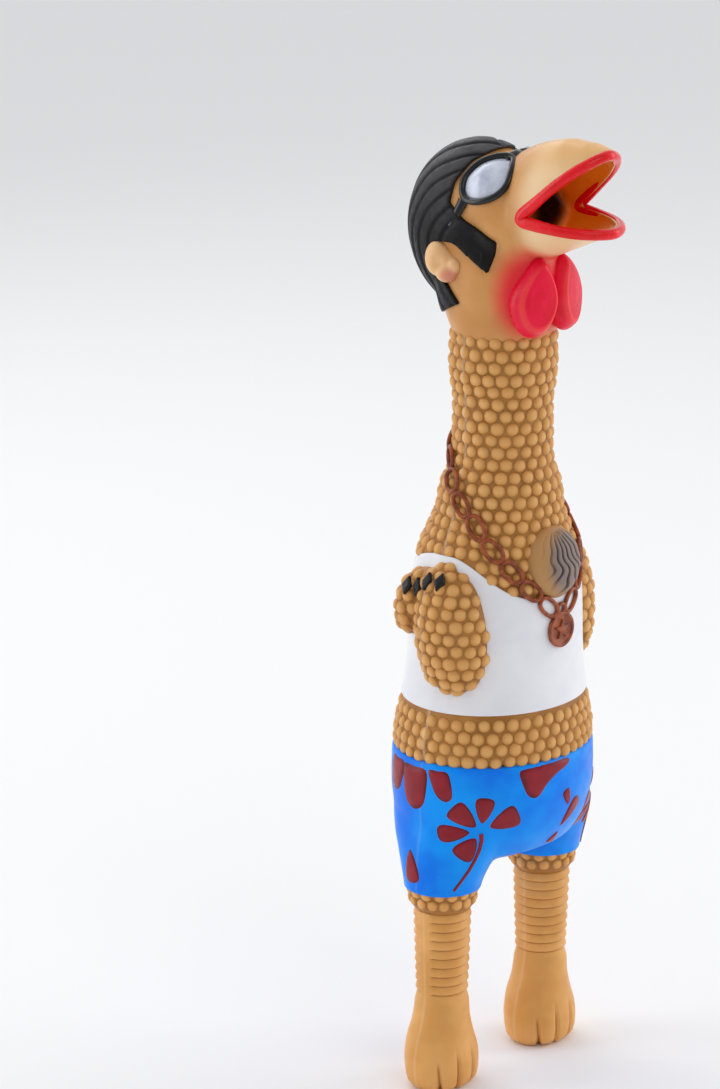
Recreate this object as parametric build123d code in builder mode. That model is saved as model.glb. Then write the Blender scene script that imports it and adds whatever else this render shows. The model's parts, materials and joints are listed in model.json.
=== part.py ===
"""Squeaky rubber chicken in a tank top, swimming shorts and sunglasses.

Millimetres. +Z is up, the chicken faces -Y, and its own right side is -X.
The origin is on the ground, under the middle of the whole toy. The hollow latex skin is
divided at its paint lines and at the places where it bends, so each stretch is a piece.
"""
import os
from math import atan2, cos, degrees, radians, sin, sqrt

from build123d import *

# heights of each stretch
leg_length = 60.0            # soles to shorts hem
shorts_height = 45.0         # hem to waistline
torso_height = 99.5         # waistline to the middle of the neck bend
neck_length = 25.0           # neck bend to the middle of the head bend
head_height = 57.4           # head bend to the top of the skull

# widths
hip_width = 70.0
belly_width = 64.8
belly_depth = 56.0
neck_radius = 15.1
throat_radius = 16.0         # neck just under the head
head_width = 35.4
head_depth = 45.0
hem_radius = 11.6
ankle_radius = 8.2

# walls and gaps
skin_wall = 2.2
paint_relief = 0.8           # how far the tank top stands proud of the belly
hair_relief = 1.2
flex_gap = 0.3               # between the two halves of a bending place
rubber_fit = 0.1             # between trim and skin

# fore and aft places of the body axis
belly_y = 8.0
neck_y = 5.5
leg_y = 7.5
foot_y = 6.0

# how far each bending place turns, in degrees
neck_bend = 30.0
head_tilt = 20.0
hip_swing = 25.0

# beak
beak_width = 28.6            # between the corners of the mouth
upper_beak_length = 30.3
lower_beak_length = 26.2
upper_beak_height = 19.6
lower_beak_height = 13.6
mouth_y = -12.1              # corners of the mouth
mouth_drop = 19.4            # corners of the mouth below the top of the skull
upper_beak_pitch = 40.6
lower_beak_pitch = -6.0
lip_height = 2.4
lip_relief = 0.7
jaw_gap = 0.4

# noise maker
squeaker_radius = 9.3
squeaker_length = 18.0
squeaker_wall = 1.5
reed_width = 3.0
reed_thickness = 0.25
reed_length = 9.7

# trim
link_length = 8.0
link_width = 4.8
link_band = 1.1
link_thickness = 1.1
link_gap = 0.2
medallion_radius = 4.7
wing_height = 40.0
wing_depth = 23.0
wing_standoff = 7.0          # how far a wing stands out from the side

waist_z = leg_length + shorts_height
neck_z = waist_z + torso_height
head_z = neck_z + neck_length
skull_top = head_z + head_height
mouth_z = skull_top - mouth_drop
leg_x = hip_width / 2 - hem_radius
skull_y = neck_y + 9.0
skull_z = skull_top - head_height * 0.456

# each bending place is a ball in a socket; the socket's rim stops this far from the centre
# so that the tube of the ball's own half can lean over it
ankle_ball = hem_radius - 0.7
hem_socket = ankle_ball + flex_gap
neck_rim = neck_radius * sin(radians(neck_bend)) - 1.2
head_rim = throat_radius * sin(radians(head_tilt)) - 0.9
hem_rim = ankle_ball * sin(radians(hip_swing)) - 0.9
hip_z = leg_length - hem_rim
airway_radius = squeaker_radius

# fraction of the torso's height, and how far its section has filled out from neck to belly
torso_fullness = [
    (0.00, 1.01), (0.08, 0.97), (0.15, 0.88), (0.25, 0.79), (0.35, 0.755), (0.46, 0.735), (0.53, 0.685),
    (0.61, 0.59), (0.685, 0.39), (0.76, 0.245), (0.84, 0.15), (0.935, 0.05),
]


def torso_section(fraction, fullness):
    """Height, half width, half depth and middle of one level of the torso."""
    half_width = neck_radius + (belly_width / 2 - neck_radius) * fullness
    half_depth = neck_radius + (belly_depth / 2 - neck_radius) * fullness
    middle = neck_y + (belly_y - neck_y) * fullness
    return waist_z + fraction * torso_height, half_width, half_depth, middle


def torso_form(grow, top=1.0):
    """The torso's outline, made larger all round by grow."""
    levels = [torso_section(*row) for row in torso_fullness if row[0] <= top]
    with BuildPart() as form:
        for height, half_width, half_depth, middle in levels:
            with BuildSketch(Plane.XY.offset(height)):
                with Locations((0, middle)):
                    Ellipse(half_width + grow, half_depth + grow)
        loft()
    return form.part


def ball(centre, radius):
    return Pos(*centre) * Sphere(radius, mode=Mode.PRIVATE)


def ellipsoid(centre, half_sizes):
    return Pos(*centre) * scale(Sphere(1, mode=Mode.PRIVATE), by=half_sizes, mode=Mode.PRIVATE)


def turned_plane(x, y):
    """The upright plane through a vertical axis, for profiles that are revolved about it."""
    return Plane(origin=(x, y, 0), x_dir=(1, 0, 0), z_dir=(0, -1, 0))


def upright(x, y):
    return Axis((x, y, 0), (0, 0, 1))


os.makedirs("parts", exist_ok=True)

# ---------------------------------------------------------------- torso
torso_outside = torso_form(0)
neck_ball_centre = (0, neck_y, neck_z)
torso_rim_z = neck_z - neck_rim - 0.3
seat_floor_z = neck_z - neck_radius - 3.0

with BuildPart() as torso_shell:
    add(torso_outside)
    with Locations((0, 0, torso_rim_z)):
        Box(hip_width, hip_width, torso_height, align=(Align.CENTER, Align.CENTER, Align.MIN),
            mode=Mode.SUBTRACT)
    add(torso_form(-skin_wall, top=0.76), mode=Mode.SUBTRACT)
    add(ball(neck_ball_centre, neck_radius + flex_gap), mode=Mode.SUBTRACT)
    with Locations((0, neck_y, seat_floor_z)):
        Cylinder(airway_radius, 2 * neck_radius, mode=Mode.SUBTRACT)
torso_shell.part.label = "torso_shell"
export_step(torso_shell.part, "parts/torso_shell.step")

# ---------------------------------------------------------------- wings, folded against the sides
wing_z = waist_z + 0.4 * torso_height
wing_front_y = 1.5
wing_reach = torso_section(0.4, 0.745)[1] + wing_standoff


def wing_lobes(side, grow):
    """The forearm lobe in front and the elbow lobe behind, swelling out of one side."""
    front_half = (11.0 + grow, wing_depth / 2 + grow, wing_height / 2 + grow)
    back_half = (9.0 + grow, 8.0 + grow, 0.3 * wing_height + grow)
    front = ellipsoid((side * (wing_reach - 11.0), wing_front_y, wing_z), front_half)
    back = ellipsoid((side * (wing_reach - 11.5), wing_front_y + 15.0, wing_z + 8.0), back_half)
    return front + back


for side, name in ((-1, "wing_right"), (1, "wing_left")):
    with BuildPart() as wing:
        add(wing_lobes(side, 0))
        add(torso_outside, mode=Mode.SUBTRACT)
        with Locations((side * wing_reach / 4, 0, wing_z)):
            Box(wing_reach / 2, 3 * hip_width, 2 * wing_height, mode=Mode.SUBTRACT)
    wing.part.label = name
    export_step(wing.part, f"parts/{name}.step")

# a plain painted band of lozenges round the top of the right wing
band_z = wing_z + 0.25 * wing_height
with BuildPart() as arm_band:
    for step in range(5):
        with BuildSketch(Plane.YZ.offset(-wing_reach - 1.0)):
            with Locations((wing_front_y - 3.0 + 3.3 * step, band_z - 0.25 * step)):
                RegularPolygon(2.0, 4)
        extrude(amount=wing_reach / 2)
    add(wing_lobes(-1, 0.35), mode=Mode.INTERSECT)
    add(wing_lobes(-1, 0), mode=Mode.SUBTRACT)
    add(torso_outside, mode=Mode.SUBTRACT)
arm_band.part.label = "arm_band"
export_step(arm_band.part, "parts/arm_band.step")

# ---------------------------------------------------------------- tank top, a raised painted layer
vest_hem_z = waist_z + 0.155 * torso_height
vest_top_z = waist_z + 0.64 * torso_height
scoop_front_z = waist_z + 0.495 * torso_height
scoop_back_z = waist_z + 0.56 * torso_height
scoop_radius = 0.65 * belly_width / 2

with BuildPart() as tank_top:
    add(torso_form(paint_relief))
    add(torso_outside, mode=Mode.SUBTRACT)
    with Locations((0, 0, vest_hem_z)):
        Box(2 * hip_width, 2 * hip_width, torso_height, align=(Align.CENTER, Align.CENTER, Align.MAX),
            mode=Mode.SUBTRACT)
    with Locations((0, 0, vest_top_z)):
        Box(2 * hip_width, 2 * hip_width, torso_height, align=(Align.CENTER, Align.CENTER, Align.MIN),
            mode=Mode.SUBTRACT)
    for scoop_z, forward in ((scoop_front_z, 1), (scoop_back_z, -1)):
        with BuildSketch(Plane(origin=(0, belly_y, scoop_z), x_dir=(forward, 0, 0), z_dir=(0, -forward, 0))):
            with Locations((0, scoop_radius)):
                Ellipse(scoop_radius, scoop_radius)
        extrude(amount=hip_width, mode=Mode.SUBTRACT)
    add(wing_lobes(-1, 0), mode=Mode.SUBTRACT)
    add(wing_lobes(1, 0), mode=Mode.SUBTRACT)
tank_top.part.label = "tank_top"
export_step(tank_top.part, "parts/tank_top.step")

# ---------------------------------------------------------------- tuft of feathers on the chest
tuft_z = waist_z + 0.575 * torso_height
tuft_half = (7.6, 6.0, 10.2)
tuft_relief = 3.4
tuft_level = torso_section(0.575, 0.63)
tuft_y = tuft_level[3] - tuft_level[2] - tuft_relief + tuft_half[1]
with BuildPart() as chest_tuft:
    add(ellipsoid((0, tuft_y, tuft_z), tuft_half))
    add(torso_form(paint_relief + rubber_fit), mode=Mode.SUBTRACT)
    with Locations((0, tuft_y, tuft_z)):
        Box(hip_width, tuft_half[1], torso_height, align=(Align.CENTER, Align.MIN, Align.CENTER),
            mode=Mode.SUBTRACT)
chest_tuft.part.label = "chest_tuft"
export_step(chest_tuft.part, "parts/chest_tuft.step")

# ---------------------------------------------------------------- chain round the neck
chain_low_z = waist_z + 0.42 * torso_height
chain_rise = 0.51 * torso_height
chain_standoff = paint_relief + 0.6


def torso_level(height):
    """Half width, half depth and middle of the torso at any height."""
    fraction = (height - waist_z) / torso_height
    for low, high in zip(torso_fullness, torso_fullness[1:]):
        if low[0] <= fraction <= high[0]:
            share = (fraction - low[0]) / (high[0] - low[0])
            fullness = low[1] + (high[1] - low[1]) * share
            return torso_section(fraction, fullness)[1:]
    return torso_section(*torso_fullness[-1])[1:]


def chain_point(turn):
    """A point of the chain's path; turn is 0 at the chest and 180 at the nape."""
    height = chain_low_z + chain_rise * sin(radians(abs(turn)) / 2)
    half_width, half_depth, middle = torso_level(height)
    x = (half_width + chain_standoff) * sin(radians(turn))
    y = middle - (half_depth + chain_standoff) * cos(radians(turn))
    return Vector(x, y, height)


def chain_stops(pitch):
    """Turns at which the links sit, evenly spaced from beside the pendant to the nape."""
    walked = [0.0]
    for turn in range(1, 181):
        walked.append(walked[-1] + (chain_point(turn) - chain_point(turn - 1)).length)
    count = int(walked[-1] / pitch - 0.6)
    spacing = walked[-1] / (count + 0.6)
    stops = []
    for number in range(count):
        target = (number + 1.1) * spacing
        turn = sum(1 for length in walked if length < target)
        stops.append(turn - (walked[turn] - target) / (walked[turn] - walked[turn - 1]))
    return stops


link_frames = []
for stop in chain_stops(link_length + link_gap):
    for turn in (stop, -stop):
        centre = chain_point(turn)
        along = (chain_point(turn + 2) - chain_point(turn - 2)).normalized()
        half_width, half_depth, middle = torso_level(centre.Z)
        outward = Vector(centre.X / half_width**2, (centre.Y - middle) / half_depth**2, 0)
        outward = (outward - along * outward.dot(along)).normalized()
        link_frames.append(Plane(origin=centre, x_dir=along, z_dir=outward))

with BuildPart() as necklace_links:
    for frame in link_frames:
        with BuildSketch(frame):
            SlotOverall(link_length, link_width)
            SlotOverall(link_length - 2 * link_band, link_width - 2 * link_band, mode=Mode.SUBTRACT)
        extrude(amount=link_thickness)
necklace_links.part.label = "necklace_links"
export_step(necklace_links.part, "parts/necklace_links.step")

# a plain round medallion with a raised star, hanging from a small bail
pendant_z = chain_low_z - 0.5 * medallion_radius
pendant_face = torso_level(pendant_z - medallion_radius)
pendant_y = pendant_face[2] - pendant_face[1] - paint_relief - rubber_fit
pendant_plane = Plane(origin=(0, pendant_y, pendant_z), x_dir=(1, 0, 0), z_dir=(0, -1, 0))
with BuildPart() as pendant:
    with BuildSketch(pendant_plane):
        Circle(medallion_radius)
        with Locations((0, medallion_radius + 1.2)):
            Circle(2.0)
        with Locations((0, medallion_radius + 1.4)):
            Circle(0.8, mode=Mode.SUBTRACT)
    extrude(amount=1.3)
    with BuildSketch(pendant_plane.offset(1.3)):
        for point in range(5):
            tip = radians(90 + 72 * point)
            with BuildLine():
                Polyline((0, 0), (1.5 * cos(tip - 0.63), 1.5 * sin(tip - 0.63)),
                         (3.6 * cos(tip), 3.6 * sin(tip)), (1.5 * cos(tip + 0.63), 1.5 * sin(tip + 0.63)),
                         close=True)
            make_face()
    extrude(amount=0.6)
pendant.part.label = "pendant"
export_step(pendant.part, "parts/pendant.step")

# ---------------------------------------------------------------- swimming shorts
crotch_z = leg_length + 8.5
shorts_levels = [
    (waist_z, 1.0, 1.0), (waist_z - 0.25 * shorts_height, 1.02, 0.98),
    (waist_z - 0.5 * shorts_height, 1.02, 0.9), (crotch_z, 0.9, 0.66),
]
socket_roof_z = hip_z + hem_socket + skin_wall


def shorts_form(inset, bottom):
    """The seat of the shorts and its two legs, made smaller all round by inset."""
    with BuildPart() as form:
        for height, wide, deep in shorts_levels:
            with BuildSketch(Plane.XY.offset(max(height, bottom))):
                with Locations((0, belly_y)):
                    Ellipse(wide * belly_width / 2 - inset, deep * belly_depth / 2 - inset)
        loft()
        if bottom < crotch_z:
            for side in (-1, 1):
                with BuildSketch(Plane.XY.offset(leg_length)):
                    with Locations((side * leg_x, leg_y)):
                        Circle(hem_radius - inset)
                with BuildSketch(Plane.XY.offset(crotch_z)):
                    with Locations((side * (leg_x - 1.6), leg_y)):
                        Ellipse(hem_radius + 1.2 - inset, hem_radius + 3.6 - inset)
                with BuildSketch(Plane.XY.offset(waist_z - 0.25 * shorts_height)):
                    with Locations((side * (leg_x - 9.0), belly_y)):
                        Ellipse(hem_radius + 5.0 - inset, 0.78 * belly_depth / 2 - inset)
                loft()
    return form.part


with BuildPart() as shorts_shell:
    add(shorts_form(0, leg_length))
    add(shorts_form(skin_wall, socket_roof_z), mode=Mode.SUBTRACT)
    for side in (-1, 1):
        add(ball((side * leg_x, leg_y, hip_z), hem_socket), mode=Mode.SUBTRACT)
        with Locations((side * leg_x, leg_y, socket_roof_z)):
            Cylinder(ankle_radius - skin_wall, 2 * hem_socket, mode=Mode.SUBTRACT)
shorts_shell.part.label = "shorts_shell"
export_step(shorts_shell.part, "parts/shorts_shell.step")

# ---------------------------------------------------------------- legs
cuff_bottom_z = hip_z - 2.6
shin_bottom_z = 0.48 * leg_length
leg_bore = ankle_radius - skin_wall - 0.8
ring_count = 9
ring_step = 0.6
foot_levels = [
    (0.0, 8.6, 6.4), (0.04, 10.4, 8.4), (0.14, 11.2, 9.4), (0.3, 9.8, 8.8),
    (0.48, ankle_radius, ankle_radius),
]


def cuff(side):
    """The nubbed cuff under the hem, with the ball that turns inside the shorts."""
    x = side * leg_x
    with BuildPart() as piece:
        with BuildSketch(turned_plane(x, leg_y)):
            with BuildLine():
                opening = degrees(atan2(sqrt(ankle_ball**2 - leg_bore**2), leg_bore))
                Polyline((leg_bore, hip_z + ankle_ball * sin(radians(opening))), (leg_bore, cuff_bottom_z),
                         (ankle_radius + ring_step, cuff_bottom_z), (ankle_ball, hip_z))
                CenterArc((0, hip_z), ankle_ball, 0, opening)
            make_face()
        revolve(axis=upright(x, leg_y))
    return piece.part


def shin(side):
    """The scaly shank: a stack of overlapping rings, each stepping out towards its foot."""
    x = side * leg_x
    pitch = (cuff_bottom_z - shin_bottom_z) / ring_count
    outline = [(leg_bore, cuff_bottom_z)]
    for ring in range(ring_count):
        top = cuff_bottom_z - ring * pitch
        outline += [(ankle_radius - 0.2, top), (ankle_radius + ring_step, top - 0.75 * pitch),
                    (ankle_radius, top - pitch)]
    outline.append((leg_bore, shin_bottom_z))
    with BuildPart() as piece:
        with BuildSketch(turned_plane(x, leg_y)):
            with BuildLine():
                Polyline(*outline, close=True)
            make_face()
        revolve(axis=upright(x, leg_y))
    return piece.part


def foot(side):
    """The hanging foot: three toes parted by grooves, flat where it stands."""
    x = side * leg_x
    with BuildPart() as piece:
        for share, half_width, half_depth in foot_levels:
            lean = (leg_y - foot_y) * share / foot_levels[-1][0]
            with BuildSketch(Plane.XY.offset(share * leg_length)):
                with Locations((x, foot_y + lean)):
                    Ellipse(half_width, half_depth)
        loft()
        for toe_gap in (-3.6, 3.6):
            with Locations((x + toe_gap, foot_y - 11.5, 0)):
                Cylinder(2.4, 18.0, rotation=(-14, 0, 0), mode=Mode.SUBTRACT)
        with Locations((x, leg_y, shin_bottom_z)):
            Cylinder(leg_bore, shin_bottom_z - 8.0, align=(Align.CENTER, Align.CENTER, Align.MAX),
                     mode=Mode.SUBTRACT)
    return piece.part


for side, word in ((-1, "right"), (1, "left")):
    for make, name in ((cuff, "cuff"), (shin, "shin"), (foot, "foot")):
        leg_piece = make(side)
        leg_piece.label = f"{name}_{word}"
        export_step(leg_piece, f"parts/{name}_{word}.step")

# ---------------------------------------------------------------- neck
opening_low = degrees(atan2(sqrt(neck_radius**2 - airway_radius**2), airway_radius))
opening_high = degrees(atan2(sqrt(throat_radius**2 - airway_radius**2), airway_radius))
rib_height = 7.0
rib_z = neck_z + 0.5 * neck_length
neck_outline = [
    (neck_radius + 0.2, neck_z + 0.35 * neck_length),
    (throat_radius + 0.3, neck_z + 0.7 * neck_length),
]

with BuildPart() as neck_shell:
    with BuildSketch(turned_plane(0, neck_y)):
        with BuildLine():
            CenterArc((0, neck_z), neck_radius, -opening_low, opening_low)
            Spline((neck_radius, neck_z), *neck_outline, (throat_radius, head_z),
                   tangents=((0, 1), (0, 1)))
            CenterArc((0, head_z), throat_radius, 0, opening_high)
            Polyline((airway_radius, head_z + throat_radius * sin(radians(opening_high))),
                     (airway_radius, head_z + 6.0), (neck_radius - skin_wall, head_z - 2.0),
                     (neck_radius - skin_wall, rib_z + rib_height / 2),
                     (squeaker_radius + rubber_fit, rib_z + rib_height / 2),
                     (squeaker_radius + rubber_fit, rib_z - rib_height / 2),
                     (neck_radius - skin_wall, rib_z - rib_height / 2),
                     (neck_radius - skin_wall, neck_z + 1.0),
                     (airway_radius, neck_z - 6.0),
                     (airway_radius, neck_z - neck_radius * sin(radians(opening_low))))
        make_face()
    revolve(axis=upright(0, neck_y))
neck_shell.part.label = "neck_shell"
export_step(neck_shell.part, "parts/neck_shell.step")

# ---------------------------------------------------------------- noise maker, held in the neck
squeaker_z = rib_z - squeaker_length / 2
grille_thickness = 1.6
block_radius = 3.2
block_height = squeaker_length - 5.0
block_z = squeaker_z + grille_thickness
clip_radius = block_radius + 0.3
clip_height = 2.4
clip_z = block_z + 0.8
reed_y = neck_y - 2.5
reed_z = clip_z + 0.9

with BuildPart() as squeaker_housing:
    with Locations((0, neck_y, squeaker_z)):
        Cylinder(squeaker_radius, squeaker_length, align=(Align.CENTER, Align.CENTER, Align.MIN))
        Cylinder(squeaker_radius - squeaker_wall, squeaker_length,
                 align=(Align.CENTER, Align.CENTER, Align.MIN), mode=Mode.SUBTRACT)
squeaker_housing.part.label = "squeaker_housing"
export_step(squeaker_housing.part, "parts/squeaker_housing.step")

with BuildPart() as squeaker_cap:
    with BuildSketch(Plane.XY.offset(squeaker_z + squeaker_length)):
        with Locations((0, neck_y)):
            Circle(squeaker_radius)
            Circle(squeaker_radius - 2.4 * squeaker_wall, mode=Mode.SUBTRACT)
    extrude(amount=grille_thickness)
squeaker_cap.part.label = "squeaker_cap"
export_step(squeaker_cap.part, "parts/squeaker_cap.step")

with BuildPart() as squeaker_grille:
    with BuildSketch(Plane.XY.offset(squeaker_z)):
        with Locations((0, neck_y)):
            Circle(squeaker_radius - squeaker_wall)
            with PolarLocations(0.5 * (squeaker_radius - squeaker_wall + block_radius), 8):
                Circle(1.1, mode=Mode.SUBTRACT)
    extrude(amount=grille_thickness)
squeaker_grille.part.label = "squeaker_grille"
export_step(squeaker_grille.part, "parts/squeaker_grille.step")

with BuildPart() as reed_block:
    with Locations((0, neck_y, block_z)):
        Cylinder(block_radius, block_height, align=(Align.CENTER, Align.CENTER, Align.MIN))
    with Locations((0, neck_y - 2.0, block_z)):
        Box(4 * block_radius, block_radius, 4 * block_height, align=(Align.CENTER, Align.MAX, Align.CENTER),
            mode=Mode.SUBTRACT)
    with Locations((0, neck_y - 1.3, reed_z + 1.2)):
        Box(4 * block_radius, block_radius, 4 * block_height, align=(Align.CENTER, Align.MAX, Align.MIN),
            mode=Mode.SUBTRACT)
    with Locations((0, neck_y - 1.3, reed_z + 0.55 * reed_length)):
        Box(reed_width - 1.2, 3.0, 0.6 * reed_length, mode=Mode.SUBTRACT)
reed_block.part.label = "reed_block"
export_step(reed_block.part, "parts/reed_block.step")

with BuildPart() as reed_clip:
    with BuildSketch(Plane.XY.offset(clip_z)):
        with Locations((0, neck_y)):
            Circle(clip_radius + 0.9)
            Circle(clip_radius, mode=Mode.SUBTRACT)
    extrude(amount=clip_height)
reed_clip.part.label = "reed_clip"
export_step(reed_clip.part, "parts/reed_clip.step")

with BuildPart() as reed:
    with BuildSketch(Plane.XY.offset(reed_z)):
        with Locations((0, reed_y)):
            Rectangle(reed_width, reed_thickness)
    extrude(amount=reed_length)
reed.part.label = "reed"
export_step(reed.part, "parts/reed.step")

# ---------------------------------------------------------------- head
head_ball_centre = (0, neck_y, head_z)
head_rim_z = head_z + head_rim + 0.3
head_seat_z = head_z + throat_radius + 2.0
corner = (0, mouth_y, mouth_z)
upper_forward = (0, -cos(radians(upper_beak_pitch)), sin(radians(upper_beak_pitch)))
lower_forward = (0, -cos(radians(lower_beak_pitch)), sin(radians(lower_beak_pitch)))
upper_mouth = Plane(origin=corner, x_dir=(1, 0, 0), z_dir=upper_forward)
lower_mouth = Plane(origin=corner, x_dir=(1, 0, 0), z_dir=lower_forward)


def head_form(grow):
    """Skull, throat and cheeks, made larger all round by grow."""
    skull = ellipsoid((0, skull_y, skull_z),
                      (head_width / 2 + grow, head_depth / 2 + grow, skull_top - skull_z + grow))
    throat_levels = [
        (head_rim_z, throat_radius + 0.9, throat_radius + 0.9, neck_y),
        (head_z + 0.3 * head_height, head_width / 2 - 0.6, throat_radius + 4.5, neck_y + 1.0),
        (head_z + 0.52 * head_height, head_width / 2 - 0.3, throat_radius + 6.0, neck_y + 3.0),
    ]
    cheek_levels = [
        (mouth_y, beak_width / 2 + 0.2, 14.6, mouth_z),
        (mouth_y + 0.45 * (skull_y - mouth_y), head_width / 2 - 1.2, 18.2, mouth_z - 1.5),
        (skull_y, head_width / 2 - 0.3, 20.0, skull_z),
    ]
    with BuildPart() as throat:
        for height, half_width, half_depth, middle in throat_levels:
            with BuildSketch(Plane.XY.offset(height)):
                with Locations((0, middle)):
                    Ellipse(half_width + grow, half_depth + grow)
        loft()
    with BuildPart() as cheeks:
        for y, half_width, half_height, middle in cheek_levels:
            with BuildSketch(Plane(origin=(0, y, 0), x_dir=(1, 0, 0), z_dir=(0, -1, 0))):
                with Locations((0, middle)):
                    Ellipse(half_width + grow, half_height + grow)
        loft()
    return skull + throat.part + cheeks.part


head_outside = head_form(0)
head_inside = head_form(-skin_wall)
reach = 3 * head_height

with BuildPart() as beak_space:
    with BuildSketch(Plane.YZ):
        with BuildLine():
            up = upper_mouth.y_dir
            down = lower_mouth.y_dir * -1
            chin = lower_beak_height + jaw_gap
            Polyline((mouth_y, mouth_z), (mouth_y + up.Y * reach, mouth_z + up.Z * reach),
                     (mouth_y - reach, mouth_z + reach), (mouth_y - reach, mouth_z - chin),
                     (mouth_y + down.Y * chin + jaw_gap, mouth_z - chin),
                     (mouth_y + jaw_gap, mouth_z), close=True)
        make_face()
    extrude(amount=head_width, both=True)

with BuildPart() as hollow:
    add(head_inside)
    with Locations((0, 0, head_seat_z)):
        Box(reach, reach, reach, align=(Align.CENTER, Align.CENTER, Align.MAX), mode=Mode.SUBTRACT)

with BuildPart() as head_shell:
    add(head_outside)
    with Locations((0, 0, head_rim_z)):
        Box(reach, reach, reach, align=(Align.CENTER, Align.CENTER, Align.MAX), mode=Mode.SUBTRACT)
    add(hollow.part, mode=Mode.SUBTRACT)
    add(ball(head_ball_centre, throat_radius + flex_gap), mode=Mode.SUBTRACT)
    with Locations((0, neck_y, head_seat_z)):
        Cylinder(airway_radius, 2 * throat_radius, mode=Mode.SUBTRACT)
    add(beak_space.part, mode=Mode.SUBTRACT)
head_shell.part.label = "head_shell"
export_step(head_shell.part, "parts/head_shell.step")

# ---------------------------------------------------------------- beak, lips and mouth
beak_shape = [(0.0, 1.0, 1.0), (0.33, 0.96, 0.88), (0.66, 0.81, 0.63), (0.87, 0.56, 0.36), (1.0, 0.24, 0.12)]


def beak_form(mouth, length, height, side, grow):
    """One half of the beak as a half dome over the mouth's plane; side is 1 above and -1 below."""
    with BuildPart() as form:
        for share, wide, high in beak_shape:
            with BuildSketch(mouth.offset(share * (length + grow))):
                half_width = wide * beak_width / 2 + grow * (0.4 + 0.6 * wide)
                half_height = high * height + grow * (0.4 + 0.6 * high)
                Ellipse(max(half_width, 0.6), max(half_height, 0.5))
                keep = Align.MIN if side > 0 else Align.MAX
                Rectangle(4 * beak_width, 4 * height, align=(Align.CENTER, keep), mode=Mode.INTERSECT)
        loft()
    return form.part


def mouth_slab(mouth, side):
    """The thin layer next to the mouth's plane that the lip fills."""
    return mouth.location * Pos(0, side * lip_height / 2, 0) * Box(
        reach, lip_height, 2 * reach, mode=Mode.PRIVATE)


beak_halves = (
    ("upper", upper_mouth, upper_beak_length, upper_beak_height, 1),
    ("lower", lower_mouth, lower_beak_length, lower_beak_height, -1),
)
for word, mouth, length, height, side in beak_halves:
    palate = beak_form(mouth, length, height, side, -skin_wall)
    slab = mouth_slab(mouth, side)
    with BuildPart() as beak_half:
        add(beak_form(mouth, length, height, side, 0))
        add(palate, mode=Mode.SUBTRACT)
        add(slab, mode=Mode.SUBTRACT)
    beak_half.part.label = f"{word}_beak"
    export_step(beak_half.part, f"parts/{word}_beak.step")
    with BuildPart() as lip:
        add(beak_form(mouth, length, height, side, lip_relief))
        add(palate, mode=Mode.SUBTRACT)
        add(slab, mode=Mode.INTERSECT)
    lip.part.label = f"{word}_lip"
    export_step(lip.part, f"parts/{word}_lip.step")

# the lining narrows from the mouth to the throat: how far back, its radius, how far down
lining_levels = [(1.0, 11.0, 0.0), (8.0, 8.5, 2.5), (16.0, 5.5, 5.0)]
lining_wall = 1.2
with BuildPart() as mouth_lining:
    for inset, mode in ((0.0, Mode.ADD), (lining_wall, Mode.SUBTRACT)):
        for back, radius, drop in lining_levels:
            origin = (0, mouth_y + back, mouth_z - drop)
            with BuildSketch(Plane(origin=origin, x_dir=(1, 0, 0), z_dir=(0, 1, 0))):
                Circle(radius - inset)
        loft(mode=mode)
    add(head_inside, mode=Mode.INTERSECT)
    add(beak_space.part, mode=Mode.SUBTRACT)
mouth_lining.part.label = "mouth_lining"
export_step(mouth_lining.part, "parts/mouth_lining.step")

# ---------------------------------------------------------------- hair, swept back from the brow
hairline = [
    (-1.0, 19.0), (2.5, 15.0), (6.5, 12.2), (9.0, 7.0), (9.3, 2.0), (4.0, -2.6), (-5.7, -7.8), (-3.3, -16.9),
    (8.5, -9.4), (14.5, -9.4), (17.5, -17.0), (12.0, -22.5), (7.5, -28.5), (20.0, -30.5),
]
with BuildPart() as hair:
    with BuildSketch(Plane.YZ):
        with BuildLine():
            Polyline(*[(y, mouth_z + rise) for y, rise in hairline], (reach, mouth_z - 30.5),
                     (reach, mouth_z + reach), (-1.0, mouth_z + reach), close=True)
        make_face()
    extrude(amount=head_width, both=True)
    add(head_form(hair_relief), mode=Mode.INTERSECT)
    add(head_outside, mode=Mode.SUBTRACT)
    add(beak_space.part, mode=Mode.SUBTRACT)
    add(beak_form(upper_mouth, upper_beak_length, upper_beak_height, 1, rubber_fit), mode=Mode.SUBTRACT)
hair.part.label = "hair"
export_step(hair.part, "parts/hair.step")

# ---------------------------------------------------------------- sunglasses
lens_half_length = 7.6
lens_half_height = 6.6
rim_band = 1.3
rim_thickness = 2.2
lens_thickness = 1.3
lens_x = 12.9
lens_y = mouth_y + 9.8
lens_z = mouth_z + 9.3


def lens_plane(side):
    """The plane of one lens, which looks out, forwards and up."""
    outward = Vector(side * 0.70, -0.34, 0.62)
    along = Vector(-side * 0.34, -0.93, -0.13)
    return Plane(origin=(side * lens_x, lens_y, lens_z), x_dir=along, z_dir=outward)


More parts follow.
